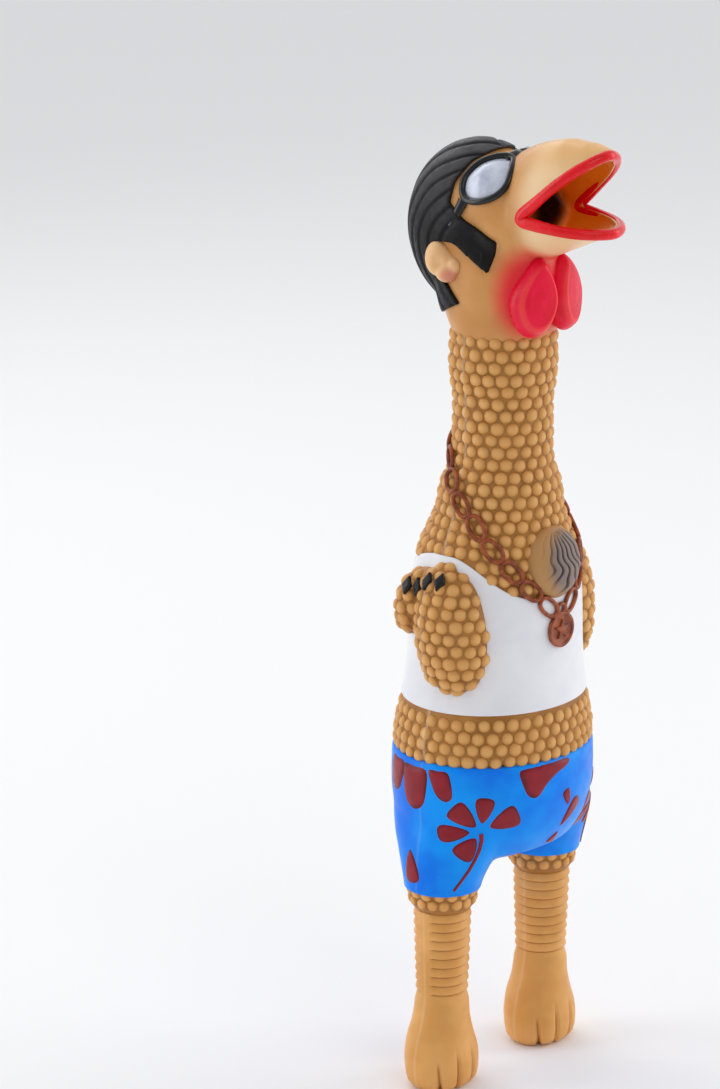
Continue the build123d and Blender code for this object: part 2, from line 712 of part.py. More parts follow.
frame_skin = head_form(rubber_fit)
beak_skin = beak_form(upper_mouth, upper_beak_length, upper_beak_height, 1, rubber_fit)
with BuildPart() as sunglasses_frame:
    for side in (-1, 1):
        with BuildSketch(lens_plane(side).offset(-rim_thickness / 2)):
            Ellipse(lens_half_length + rim_band, lens_half_height + rim_band)
        extrude(amount=1.5 * rim_thickness)
        with BuildSketch(Plane.YZ.offset(side * (head_width / 2 - 3.0))):
            with BuildLine():
                Polyline((lens_y + 2.0, lens_z - 2.6), (lens_y + 12.5, lens_z - 8.6),
                         (lens_y + 12.5, lens_z - 11.0), (lens_y + 1.0, lens_z - 6.0), close=True)
            make_face()
        extrude(amount=side * 4.4)
    with Locations((0, lens_y + 0.8, lens_z + 6.3)):
        Box(1.4 * lens_x, 3.2, 4.6)
    for side in (-1, 1):
        with BuildSketch(lens_plane(side).offset(-2 * rim_thickness)):
            Ellipse(lens_half_length, lens_half_height)
        extrude(amount=4.5 * rim_thickness, mode=Mode.SUBTRACT)
    add(frame_skin, mode=Mode.SUBTRACT)
    add(beak_skin, mode=Mode.SUBTRACT)
    add(hair.part, mode=Mode.SUBTRACT)
sunglasses_frame.part.label = "sunglasses_frame"
export_step(sunglasses_frame.part, "parts/sunglasses_frame.step")

for side, name in ((-1, "lens_right"), (1, "lens_left")):
    with BuildPart() as lens:
        with BuildSketch(lens_plane(side).offset(-lens_thickness)):
            Ellipse(lens_half_length, lens_half_height)
        extrude(amount=2.0 * lens_thickness)
        add(frame_skin, mode=Mode.SUBTRACT)
        add(beak_skin, mode=Mode.SUBTRACT)
    lens.part.label = name
    export_step(lens.part, f"parts/{name}.step")

# ---------------------------------------------------------------- ears and wattles
ear_half = (4.4, 5.2, 6.4)
wattle_half = (5.2, 3.7, 9.6)
wattle_top_z = mouth_z - lower_beak_height - jaw_gap - 0.9
wattle_front = neck_y - throat_radius - flex_gap - 0.2
for side, word in ((-1, "right"), (1, "left")):
    with BuildPart() as ear:
        add(ellipsoid((side * (head_width / 2 - 0.6), 11.5, mouth_z - 15.4), ear_half))
        add(head_form(hair_relief + rubber_fit), mode=Mode.SUBTRACT)
        with Locations((0, 0, mouth_z)):
            Box(head_width - 4.0, reach, reach, mode=Mode.SUBTRACT)
    ear.part.label = f"ear_{word}"
    export_step(ear.part, f"parts/ear_{word}.step")
    with BuildPart() as wattle:
        centre_x = side * (wattle_half[0] + 0.2)
        add(ellipsoid((centre_x, wattle_front - wattle_half[1], wattle_top_z - wattle_half[2]), wattle_half))
        add(head_form(rubber_fit), mode=Mode.SUBTRACT)
    wattle.part.label = f"wattle_{word}"
    export_step(wattle.part, f"parts/wattle_{word}.step")
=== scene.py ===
import json
import math
import random
import bmesh
import bpy
from mathutils import Matrix, Vector
from mathutils.bvhtree import BVHTree


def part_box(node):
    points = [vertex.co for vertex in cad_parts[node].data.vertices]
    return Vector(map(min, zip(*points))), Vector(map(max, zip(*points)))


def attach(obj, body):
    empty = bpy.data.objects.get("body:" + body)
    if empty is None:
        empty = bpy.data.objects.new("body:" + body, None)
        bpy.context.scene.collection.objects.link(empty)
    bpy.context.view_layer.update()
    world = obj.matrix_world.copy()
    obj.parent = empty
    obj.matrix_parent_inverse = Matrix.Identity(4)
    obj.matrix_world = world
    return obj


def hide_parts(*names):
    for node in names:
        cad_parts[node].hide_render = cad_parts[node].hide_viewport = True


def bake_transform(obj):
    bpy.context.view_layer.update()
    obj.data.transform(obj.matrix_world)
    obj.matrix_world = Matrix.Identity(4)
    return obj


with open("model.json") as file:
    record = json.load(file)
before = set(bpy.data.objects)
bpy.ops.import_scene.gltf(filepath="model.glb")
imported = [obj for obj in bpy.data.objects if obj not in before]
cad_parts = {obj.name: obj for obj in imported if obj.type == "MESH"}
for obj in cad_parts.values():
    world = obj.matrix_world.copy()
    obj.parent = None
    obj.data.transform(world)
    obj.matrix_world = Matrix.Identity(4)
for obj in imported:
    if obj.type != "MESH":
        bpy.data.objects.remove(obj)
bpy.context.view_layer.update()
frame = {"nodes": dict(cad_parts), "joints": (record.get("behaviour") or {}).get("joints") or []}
nodes = frame["nodes"]
joints = {j["name"]: j for j in frame["joints"]}
mm = 0.001
random.seed(11)

# places read from the frame, in millimetres
def boxMm(node):
    low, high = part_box(node)
    return low / mm, high / mm

def jointMm(name):
    return Vector(joints[name]["pos_m"]) / mm

waistZ = boxMm("torso_shell")[0].z
hemZ = boxMm("shorts_shell")[0].z
vestLow, vestHigh = boxMm("tank_top")
mouthCorner = jointMm("jaw_squeeze")
hipPivot = {-1: jointMm("hip_right"), 1: jointMm("hip_left")}
sideWord = {-1: "right", 1: "left"}


# general tools

def clearPick():
    if bpy.context.object and bpy.context.object.mode != "OBJECT":
        bpy.ops.object.mode_set(mode="OBJECT")
    bpy.ops.object.select_all(action="DESELECT")

def pick(*objs):
    clearPick()
    for o in objs:
        o.select_set(True)
    bpy.context.view_layer.objects.active = objs[0]
    return objs[0]

def named(name):
    obj = bpy.context.object
    obj.name = name
    obj.data.name = name
    return obj

def settle(obj):
    pick(obj)
    bpy.ops.object.transform_apply(location=True, rotation=True, scale=True)
    return obj

def joined(name, *objs):
    pick(*objs)
    bpy.ops.object.join()
    return named(name)

def useModifier(obj, kind, **settings):
    pick(obj)
    mod = obj.modifiers.new(kind.title(), kind)
    for key, value in settings.items():
        setattr(mod, key, value)
    bpy.ops.object.modifier_apply(modifier=mod.name)
    return obj

def fuse(obj, voxel, smoothSteps=8, smoothBy=0.5):
    useModifier(obj, "REMESH", mode="VOXEL", voxel_size=voxel * mm, use_smooth_shade=True)
    return useModifier(obj, "SMOOTH", factor=smoothBy, iterations=smoothSteps)

def carve(obj, cutter, operation="DIFFERENCE"):
    useModifier(obj, "BOOLEAN", operation=operation, object=cutter, solver="EXACT")
    bpy.data.objects.remove(cutter)
    return obj

def smoothShade(obj, angle=None):
    pick(obj)
    if angle is None:
        bpy.ops.object.shade_smooth()
    else:
        bpy.ops.object.shade_smooth_by_angle(angle=math.radians(angle))
    return obj

def outwards(obj):
    pick(obj)
    bpy.ops.object.mode_set(mode="EDIT")
    bpy.ops.mesh.select_all(action="SELECT")
    bpy.ops.mesh.remove_doubles(threshold=0.00001)
    bpy.ops.mesh.normals_make_consistent(inside=False)
    bpy.ops.object.mode_set(mode="OBJECT")
    return obj

def curveThrough(rows, step):
    # a smooth run of levels through a few chosen ones; each row starts with its height
    dense = []
    for i in range(len(rows) - 1):
        a, b = rows[i], rows[i + 1]
        before = rows[i - 1] if i > 0 else a
        after = rows[i + 2] if i + 2 < len(rows) else b
        count = max(1, round(abs(b[0] - a[0]) / step))
        for k in range(count):
            t = k / count
            row = []
            for p0, p1, p2, p3 in zip(before, a, b, after):
                row.append(0.5 * (2 * p1 + (p2 - p0) * t + (2 * p0 - 5 * p1 + 4 * p2 - p3) * t * t
                                  + (3 * p1 - p0 - 3 * p2 + p3) * t ** 3))
            row[0] = a[0] + (b[0] - a[0]) * t
            dense.append(tuple(row))
    dense.append(tuple(rows[-1]))
    return dense

def ringBody(name, levels, sides=72, capped=True):
    # a ring is pulled up level by level; a level is height, middle x, middle y, half width, half depth
    clearPick()
    bpy.ops.mesh.primitive_circle_add(vertices=sides, radius=1, fill_type="NOTHING")
    obj = named(name)
    bpy.ops.object.mode_set(mode="EDIT")
    bpy.ops.mesh.select_all(action="SELECT")
    height, x, y, wide, deep = levels[0]
    bpy.ops.transform.resize(value=(wide * mm, deep * mm, 1), center_override=(0, 0, 0))
    bpy.ops.transform.translate(value=(x * mm, y * mm, height * mm))
    if capped:
        bpy.ops.mesh.edge_face_add()
    for was, now in zip(levels, levels[1:]):
        shift = ((now[1] - was[1]) * mm, (now[2] - was[2]) * mm, (now[0] - was[0]) * mm)
        bpy.ops.mesh.extrude_region_move(TRANSFORM_OT_translate={"value": shift})
        centre = (now[1] * mm, now[2] * mm, now[0] * mm)
        bpy.ops.transform.resize(value=(now[3] / was[3], now[4] / was[4], 1), center_override=centre)
    bpy.ops.mesh.select_all(action="SELECT")
    bpy.ops.mesh.normals_make_consistent(inside=False)
    bpy.ops.object.mode_set(mode="OBJECT")
    return smoothShade(obj)

def egg(name, centre, half, sides=32, rings=20):
    clearPick()
    bpy.ops.mesh.primitive_uv_sphere_add(segments=sides, ring_count=rings, radius=1)
    obj = named(name)
    obj.location = Vector(centre) * mm
    obj.scale = Vector(half) * mm
    return smoothShade(settle(obj))

def levelAt(levels, height):
    for low, high in zip(levels, levels[1:]):
        if low[0] <= height <= high[0]:
            share = (height - low[0]) / (high[0] - low[0])
            return [a + (b - a) * share for a, b in zip(low, high)]
    return levels[0] if height < levels[0][0] else levels[-1]

def spotOn(levels, height, turn):
    # a point on a ring body's side and its outward normal; turn 0 faces forward, in radians
    row = levelAt(levels, height)
    point = Vector((row[1] + row[3] * math.sin(turn), row[2] - row[4] * math.cos(turn), height))
    above = levelAt(levels, height + 0.4)
    higher = Vector((above[1] + above[3] * math.sin(turn), above[2] - above[4] * math.cos(turn), above[0]))
    along = Vector((row[3] * math.cos(turn), row[4] * math.sin(turn), 0))
    normal = along.cross(higher - point)
    return point, normal.normalized()

def upright(point, normal, spin=0.0, along=None):
    # the matrix that stands a piece on a surface, its own z along the normal
    normal = Vector(normal).normalized()
    side = Vector(along) if along else Vector((0, 0, 1)).cross(normal)
    side = (side - normal * side.dot(normal)).normalized()
    basis = Matrix((side, normal.cross(side), normal)).transposed().to_4x4()
    return Matrix.Translation(Vector(point) * mm) @ basis @ Matrix.Rotation(spin, 4, "Z")

def stamp(pattern, matrix):
    copy = pattern.copy()
    copy.data = pattern.data.copy()
    bpy.context.collection.objects.link(copy)
    copy.data.transform(matrix)
    return copy

def blurredStep(value, low, high):
    t = min(1.0, max(0.0, (value - low) / (high - low)))
    return t * t * (3 - 2 * t)


# finishes

def newFinish(name, colour, roughness, coat=0.0, soft=0.0, softColour=(1.0, 0.4, 0.2)):
    mat = bpy.data.materials.new(name)
    mat.use_nodes = True
    shader = mat.node_tree.nodes["Principled BSDF"]
    shader.inputs["Base Color"].default_value = (*colour, 1)
    shader.inputs["Roughness"].default_value = roughness
    shader.inputs["Coat Weight"].default_value = coat
    shader.inputs["Coat Roughness"].default_value = 0.18
    shader.inputs["Specular IOR Level"].default_value = 0.22
    shader.inputs["Subsurface Weight"].default_value = soft
    shader.inputs["Subsurface Radius"].default_value = (softColour[0], softColour[1], softColour[2])
    shader.inputs["Subsurface Scale"].default_value = 0.0015
    return mat, mat.node_tree, shader

def link(tree, a, b):
    tree.links.new(a, b)

def objectPlace(tree):
    node = tree.nodes.new("ShaderNodeTexCoord")
    return node.outputs["Object"]

def grain(tree, place, scale, detail=3.0, rough=0.55, stretch=None):
    if stretch:
        mapping = tree.nodes.new("ShaderNodeMapping")
        mapping.inputs["Scale"].default_value = stretch
        link(tree, place, mapping.inputs["Vector"])
        place = mapping.outputs["Vector"]
    node = tree.nodes.new("ShaderNodeTexNoise")
    node.inputs["Scale"].default_value = scale
    node.inputs["Detail"].default_value = detail
    node.inputs["Roughness"].default_value = rough
    link(tree, place, node.inputs["Vector"])
    return node.outputs["Fac"]

def ramp(tree, source, stops, smooth=True):
    node = tree.nodes.new("ShaderNodeValToRGB")
    node.color_ramp.interpolation = "EASE" if smooth else "LINEAR"
    while len(node.color_ramp.elements) < len(stops):
        node.color_ramp.elements.new(0.5)
    for element, (at, colour) in zip(node.color_ramp.elements, stops):
        element.position = at
        element.color = (*colour, 1) if len(colour) == 3 else colour
    link(tree, source, node.inputs["Fac"])
    return node.outputs["Color"]

def blendColours(tree, share, first, second, kind="MIX"):
    node = tree.nodes.new("ShaderNodeMix")
    node.data_type = "RGBA"
    node.blend_type = kind
    for source, name in ((share, 0), (first, 6), (second, 7)):
        if isinstance(source, (int, float)):
            node.inputs[name].default_value = source
        elif isinstance(source, tuple):
            node.inputs[name].default_value = (*source, 1)
        else:
            link(tree, source, node.inputs[name])
    return node.outputs[2]

def sums(tree, kind, *values, clamp=False):
    node = tree.nodes.new("ShaderNodeMath")
    node.operation = kind
    node.use_clamp = clamp
    for slot, value in zip(node.inputs, values):
        if isinstance(value, (int, float)):
            slot.default_value = value
        else:
            link(tree, value, slot)
    return node.outputs[0]

def spread(tree, source, low, high, outLow=0.0, outHigh=1.0):
    node = tree.nodes.new("ShaderNodeMapRange")
    node.interpolation_type = "SMOOTHSTEP"
    node.inputs["From Min"].default_value = low
    node.inputs["From Max"].default_value = high
    node.inputs["To Min"].default_value = outLow
    node.inputs["To Max"].default_value = outHigh
    link(tree, source, node.inputs["Value"])
    return node.outputs["Result"]

def attribute(tree, name):
    node = tree.nodes.new("ShaderNodeAttribute")
    node.attribute_name = name
    return node.outputs["Fac"]

def axes(tree, place):
    node = tree.nodes.new("ShaderNodeSeparateXYZ")
    link(tree, place, node.inputs["Vector"])
    return node.outputs

def nearPoint(tree, place, centre, stretch, low, high):
    # 1 inside an egg-shaped place, fading to 0 outside it
    mapping = tree.nodes.new("ShaderNodeMapping")
    mapping.vector_type = "TEXTURE"
    mapping.inputs["Location"].default_value = Vector(centre) * mm
    mapping.inputs["Scale"].default_value = Vector(stretch) * mm
    link(tree, place, mapping.inputs["Vector"])
    length = tree.nodes.new("ShaderNodeVectorMath")
    length.operation = "LENGTH"
    link(tree, mapping.outputs["Vector"], length.inputs[0])
    return spread(tree, length.outputs["Value"], low, high, 1.0, 0.0)

def roughen(tree, shader, source, low, high):
    link(tree, spread(tree, source, 0.3, 0.7, low, high), shader.inputs["Roughness"])

def bumps(tree, shader, height, strength, distance=0.0002):
    node = tree.nodes.new("ShaderNodeBump")
    node.inputs["Strength"].default_value = strength
    node.inputs["Distance"].default_value = distance
    link(tree, height, node.inputs["Height"])
    link(tree, node.outputs["Normal"], shader.inputs["Normal"])

def mouldLine(tree, place, colour, middleY, share=0.35):
    # the pale witness line where the two halves of the mould met, at both sides
    gap = sums(tree, "ABSOLUTE", sums(tree, "SUBTRACT", axes(tree, place)["Y"], middleY * mm))
    near = spread(tree, gap, 0.0002, 0.0007, share, 0.0)
    return blendColours(tree, near, colour, (0.86, 0.66, 0.42))

# the nub colours run from painted shade in the hollows between the nubs up to the tan paint on their tops
tanLook = {"top": (0.67, 0.345, 0.105), "flank": (0.57, 0.27, 0.068), "creviceShade": (0.36, 0.15, 0.032),
           "roughness": 0.42, "soft": 0.12}

def pebbledLatex(name, middleY):
    mat, tree, shader = newFinish(name, tanLook["top"], tanLook["roughness"], 0.06, tanLook["soft"])
    place = objectPlace(tree)
    relief = attribute(tree, "relief")
    # painted shade and light on the nubs: deepest in the hollows between them, lighter up their sides, with a
    # painted highlight on their tips
    base = ramp(tree, relief, [(0.0, tanLook["creviceShade"]), (0.22, tanLook["flank"]),
                               (0.55, tanLook["top"]), (1.0, (0.76, 0.43, 0.155))])
    drift = grain(tree, place, 90.0, 2.0)
    warm = blendColours(tree, spread(tree, drift, 0.35, 0.7, 0.0, 0.4), base, (0.60, 0.29, 0.078), "MIX")
    fleck = grain(tree, place, 2600.0, 2.0)
    tone = blendColours(tree, spread(tree, fleck, 0.6, 0.8, 0.0, 0.12), warm, (0.30, 0.16, 0.07))
    link(tree, mouldLine(tree, place, tone, middleY), shader.inputs["Base Color"])
    roughen(tree, shader, grain(tree, place, 700.0), 0.36, 0.52)
    bumps(tree, shader, grain(tree, place, 1800.0, 4.0), 0.12)
    return mat


# camera, light and floor

viewPlan = {"place": (-828.1, -684.9, 473.0), "aim": (0.71401633, 0.64397428, -0.27473225), "lens": 124.9}

def setCamera():
    data = bpy.data.cameras.new("camera")
    data.lens = viewPlan["lens"]
    data.sensor_width = 36.0
    data.clip_start = 0.01
    data.clip_end = 20.0
    cam = bpy.data.objects.new("camera", data)
    bpy.context.scene.collection.objects.link(cam)
    cam.location = Vector(viewPlan["place"]) * mm
    cam.rotation_euler = Vector(viewPlan["aim"]).to_track_quat("-Z", "Y").to_euler()
    bpy.context.scene.camera = cam

def softBox(name, place, aim, size, power, colour=(1, 1, 1)):
    data = bpy.data.lights.new(name, "AREA")
    data.shape = "RECTANGLE"
    data.size, data.size_y = size
    data.energy = power
    data.color = colour
    light = bpy.data.objects.new(name, data)
    bpy.context.scene.collection.objects.link(light)
    light.location = place
    light.rotation_euler = (Vector(aim) - Vector(place)).to_track_quat("-Z", "Y").to_euler()

def setStudio():
    world = bpy.data.worlds.new("studio")
    bpy.context.scene.world = world
    world.use_nodes = True
    tree = world.node_tree
    sky = tree.nodes["Background"]
    # the white tent is a little darker on the side the toy is seen from
    toSide = tree.nodes.new("ShaderNodeVectorMath")
    toSide.operation = "DOT_PRODUCT"
    link(tree, tree.nodes.new("ShaderNodeTexCoord").outputs["Generated"], toSide.inputs[0])
    toSide.inputs[1].default_value = (-0.76, -0.63, 0.15)
    shade = spread(tree, toSide.outputs["Value"], -0.4, 1.0)
    tent = ramp(tree, shade, [(0.0, (0.97, 0.98, 1.0)), (1.0, (0.50, 0.50, 0.52))])
    link(tree, tent, sky.inputs["Color"])
    sky.inputs["Strength"].default_value = 0.92
    middle = (0, 0, 0.15)
    softBox("keyBox", (-0.35, -1.0, 0.95), middle, (0.7, 0.7), 1.8, (1.0, 0.985, 0.96))
    softBox("leftBox", (-0.75, 0.75, 0.45), middle, (0.5, 1.0), 3.0)
    softBox("rightBox", (0.85, -0.6, 0.45), middle, (0.5, 1.0), 3.0)
    softBox("backBox", (0.3, 0.9, 0.85), middle, (1.0, 0.6), 2.4)
    clearPick()
    bpy.ops.mesh.primitive_circle_add(vertices=96, radius=6, fill_type="NGON")
    floor = named("floor")
    mat, tree, shader = newFinish("paleFloor", (0.93, 0.93, 0.935), 0.85)
    place = objectPlace(tree)
    bumps(tree, shader, grain(tree, place, 300.0), 0.02)
    floor.data.materials.append(mat)
    bpy.context.scene.view_settings.view_transform = "Standard"

setCamera()
setStudio()
print("camera, light and floor are set")


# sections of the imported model, which the soft skins follow

def sectionOf(tree, height, far=120.0):
    # half sizes and middle of a node at one height, from rays sent inwards
    def reach(origin, direction):
        hit = tree.ray_cast(Vector(origin) * mm, Vector(direction))[0]
        return hit / mm if hit else None
    front = reach((0, -far, height), (0, 1, 0))
    back = reach((0, far, height), (0, -1, 0))
    middle = (front.y + back.y) / 2
    left = reach((far, middle, height), (-1, 0, 0))
    right = reach((-far, middle, height), (1, 0, 0))
    return (left.x - right.x) / 2, (back.y - front.y) / 2, middle

def treeOf(obj):
    mesh = obj.data
    return BVHTree.FromPolygons([v.co for v in mesh.vertices], [p.vertices for p in mesh.polygons])

bodyPlan = {"nubHeight": 1.0, "rowPitch": 3.65, "nubPitch": 4.15, "nubRadius": 2.34, "neckTop": 231.5}

torsoTree = treeOf(nodes["torso_shell"])
neckTree = treeOf(nodes["neck_shell"])
bodyRows = []
for height in (waistZ + 0.5, 110, 117, 125, 135, 145, 153, 160, 166, 172, 178, 185, 192):
    wide, deep, middle = sectionOf(torsoTree, height)
    bodyRows.append((height, 0.0, middle, wide - bodyPlan["nubHeight"], deep - bodyPlan["nubHeight"]))
for height in (206, 212, 219, 225, 229):
    wide, deep, middle = sectionOf(neckTree, height)
    bodyRows.append((height, 0.0, middle, wide - bodyPlan["nubHeight"], deep - bodyPlan["nubHeight"]))
bodyRows.append((232.5, 0.0, bodyRows[-1][2], bodyRows[-1][3] + 0.25, bodyRows[-1][4] + 0.25))
bodyLevels = curveThrough(bodyRows, 1.5)


# nubs

def makeNub(name, radius, height, sides=12):
    clearPick()
    bpy.ops.mesh.primitive_circle_add(vertices=sides, radius=radius * mm, fill_type="NOTHING")
    nub = named(name)
    bpy.ops.object.mode_set(mode="EDIT")
    bpy.ops.mesh.select_all(action="SELECT")
    bpy.ops.transform.translate(value=(0, 0, -0.25 * mm))
    shape = [(1.0, -0.12), (0.86, 0.10), (0.73, 0.40), (0.56, 0.72), (0.32, 0.93)]
    for was, now in zip(shape, shape[1:]):
        rise = (now[1] - was[1]) * height * mm
        bpy.ops.mesh.extrude_region_move(TRANSFORM_OT_translate={"value": (0, 0, rise)})
        bpy.ops.transform.resize(value=(now[0] / was[0], now[0] / was[0], 1), center_override=(0, 0, 0))
    bpy.ops.mesh.extrude_region_move(TRANSFORM_OT_translate={"value": (0, 0, 0.05 * height * mm)})
    bpy.ops.mesh.merge(type="CENTER")
    bpy.ops.mesh.select_all(action="SELECT")
    bpy.ops.mesh.normals_make_consistent(inside=False)
    bpy.ops.object.mode_set(mode="OBJECT")
    relief = nub.data.attributes.new("relief", "FLOAT", "POINT")
    top = height * mm
    for vertex in nub.data.vertices:
        relief.data[vertex.index].value = min(1.0, max(0.0, vertex.co.z / top))
    return smoothShade(nub)

def nubPlaces(levels, bottom, top, keep, rowPitch, nubPitch, wobble=0.22):
    # staggered rows of places on a ring body; the count in a row follows its girth
    places = []
    height, row = bottom, 0
    while height <= top:
        level = levelAt(levels, height)
        wide, deep = level[3], level[4]
        steps = 180
        walked = [0.0]
        for k in range(steps):
            a, b = 2 * math.pi * k / steps, 2 * math.pi * (k + 1) / steps
            walked.append(walked[-1] + math.hypot(wide * (math.sin(b) - math.sin(a)),
                                                  deep * (math.cos(b) - math.cos(a))))
        count = max(4, round(walked[-1] / nubPitch))
        for number in range(count):
            target = ((number + 0.5 * (row % 2) + 0.25) % count) / count * walked[-1]
            low, high = 0, steps
            while high - low > 1:
                k = (low + high) // 2
                low, high = (k, high) if walked[k] <= target else (low, k)
            turn = 2 * math.pi * (low + (target - walked[low]) / (walked[low + 1] - walked[low])) / steps
            turn += random.uniform(-wobble, wobble) / max(wide, deep)
            at = height + random.uniform(-wobble, wobble)
            point, normal = spotOn(levels, at, turn)
            if keep(point, normal, turn):
                places.append((point, normal))
        below = spotOn(levels, height, 0.0)[0]
        above = spotOn(levels, height + 1.0, 0.0)[0]
        height += rowPitch / max(1.0, (above - below).length)
        row += 1
    return places

def setNubs(pattern, places, sizeWobble=0.07):
    made = []
    for point, normal in places:
        size = 1 + random.uniform(-sizeWobble, sizeWobble)
        grow = Matrix.Diagonal((size, size, size * random.uniform(0.92, 1.1), 1))
        made.append(stamp(pattern, upright(point, normal, random.uniform(0, math.pi)) @ grow))
    return made


# tank top: where it lies, and the pebbled body that shows around it

vestPlan = {"nubGap": (1.1, 0.9), "proud": 0.75, "scoopFront": 154.3, "scoopBack": 160.0, "scoopRise": 12.5,
            "wall": 0.9}

def vestTop(x, facing):
    # height of the neckline at any place across the chest; facing is 1 in front and -1 behind
    side = min(1.0, abs(x) / 24.3)
    low = vestPlan["scoopFront"] if facing > 0 else vestPlan["scoopBack"]
    top = vestPlan["scoopFront"] + vestPlan["scoopRise"]
    return low + (top - low) * side ** 4

def underVest(point):
    facing = 1 if point.y < bodyLevels[0][2] else -1
    below, above = vestPlan["nubGap"]
    return vestLow.z - below < point.z < vestTop(point.x, facing) + above

nub = makeNub("nub", bodyPlan["nubRadius"], bodyPlan["nubHeight"] + 0.15)
bodySkin = ringBody("bodySkin", bodyLevels, 96)
bodyPlaces = nubPlaces(bodyLevels, waistZ + 1.2, bodyPlan["neckTop"],
                       lambda p, n, t: not underVest(p), bodyPlan["rowPitch"], bodyPlan["nubPitch"])
body = joined("bodySkin", bodySkin, *setNubs(nub, bodyPlaces))
body.data.materials.clear()
body.data.materials.append(pebbledLatex("pebbledBody", bodyLevels[0][2]))
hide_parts("torso_shell", "neck_shell")
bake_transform(body)
print("body skin", len(bodyPlaces), "nubs")


def makeVest():
    levels = [(h, x, y, w + vestPlan["proud"], d + vestPlan["proud"]) for h, x, y, w, d in bodyLevels]
    rows, sides = 36, 144
    vest = ringBody("tankTop", [(k, 0.0, 0.0, 1.0, 1.0) for k in range(rows + 1)], sides, capped=False)
    for vertex in vest.data.vertices:
        share = round(vertex.co.z / mm) / rows
        turn = math.atan2(vertex.co.x, -vertex.co.y)
        height = vestHigh.z
        for _ in range(12):
            point = spotOn(levels, height, turn)[0]
            height = 0.5 * height + 0.5 * vestTop(point.x, 1 if math.cos(turn) > 0 else -1)
        at = vestLow.z + (height - vestLow.z) * share
        vertex.co = spotOn(levels, at, turn)[0] * mm
    outwards(vest)
    useModifier(vest, "SOLIDIFY", thickness=vestPlan["wall"] * mm, offset=-1)
    useModifier(vest, "BEVEL", width=0.28 * mm, segments=2, limit_method="ANGLE", angle_limit=math.radians(50))
    smoothShade(vest, 45)
    mat, tree, shader = newFinish("whitePaint", (0.82, 0.83, 0.87), 0.38, 0.1, 0.05, (0.8, 0.8, 0.9))
    place = objectPlace(tree)
    cloud = grain(tree, place, 60.0, 3.0)
    tone = ramp(tree, cloud, [(0.3, (0.79, 0.80, 0.845)), (0.7, (0.86, 0.865, 0.89))])
    scuff = grain(tree, place, 900.0, 4.0)
    tone = blendColours(tree, spread(tree, scuff, 0.66, 0.76, 0.0, 0.25), tone, (0.66, 0.62, 0.60))
    link(tree, tone, shader.inputs["Base Color"])
    roughen(tree, shader, grain(tree, place, 300.0), 0.3, 0.45)
    bumps(tree, shader, grain(tree, place, 500.0, 3.0), 0.06)
    vest.data.materials.append(mat)
    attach(vest, "torso")
    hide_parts("tank_top")
    return vest

vest = makeVest()
print("tank top")


# wings

wingPlan = {"bulge": 0.9, "rowPitch": 3.7, "nubPitch": 4.1}

def wingLobe(centre, half, lean):
    rows = []
    for k in range(9):
        rise = -1 + 2 * k / 8
        wide = math.sqrt(max(0.02, 1 - abs(rise) ** 2.3))
        rows.append((centre[2] + rise * half[2], centre[0], centre[1] + lean * rise,
                     half[0] * wide, half[1] * wide))
    return curveThrough(rows, 1.2)

def makeWing(side):
    low, high = boxMm("wing_" + sideWord[side])
    outer = max(abs(low.x), abs(high.x)) - wingPlan["bulge"]
    front = wingLobe((side * (outer - 10.5), low.y + 13.6, (low.z + high.z) / 2 - 1.0), (10.4, 11.4, 20.8), 1.6)
    elbow = wingLobe((side * (outer - 11.5), high.y - 8.0, high.z - 14.0), (9.0, 6.6, 10.5), -1.5)
    shoulder = wingLobe((side * (outer - 12.5), low.y + 19.0, high.z - 8.0), (8.6, 9.6, 7.0), 0.0)
    lobes = [front, elbow, shoulder]
    parts = []
    for number, levels in enumerate(lobes):
        parts.append(ringBody("lobe", levels, 48))
    trees = [treeOf(part) for part in parts]
    skin = joined("wing" + sideWord[side].title(), *parts)
    fuse(skin, 0.7, 6)
    whole = treeOf(skin)

    def hidden(point, own):
        for number, tree in enumerate(trees):
            if number != own:
                spot, normal, _, _ = tree.find_nearest(point * mm)
                if spot and (point * mm - spot).dot(normal) < -0.0012:
                    return True
        level = levelAt(bodyLevels, point.z)
        across = (point.x - level[1]) / (level[3] + 1.0)
        deep = (point.y - level[2]) / (level[4] + 1.0)
        return across * across + deep * deep < 1.0

    places = []
    for own, levels in enumerate(lobes):
        keep = lambda p, n, t: not hidden(p, own)
        found = nubPlaces(levels, levels[0][0] + 1.5, levels[-1][0] - 0.8, keep,
                          wingPlan["rowPitch"], wingPlan["nubPitch"], 0.25)
        for point, normal in found:
            spot, away, _, _ = whole.find_nearest(point * mm)
            near = all((spot / mm - other[0]).length > 2.6 for other in places)
            if near:
                places.append((spot / mm, away))
    wing = joined(skin.name, skin, *setNubs(nub, places, 0.09))
    wing.data.materials.clear()
    wing.data.materials.append(bpy.data.materials["pebbledBody"])
    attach(wing, "torso")
    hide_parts("wing_" + sideWord[side])
    return wing, whole

wings = {side: makeWing(side) for side in (-1, 1)}
print("wings")


# swimming shorts

shortsPlan = {"hemRadius": 11.6, "hemRaise": 4.0}
hemLine = hemZ + shortsPlan["hemRaise"]

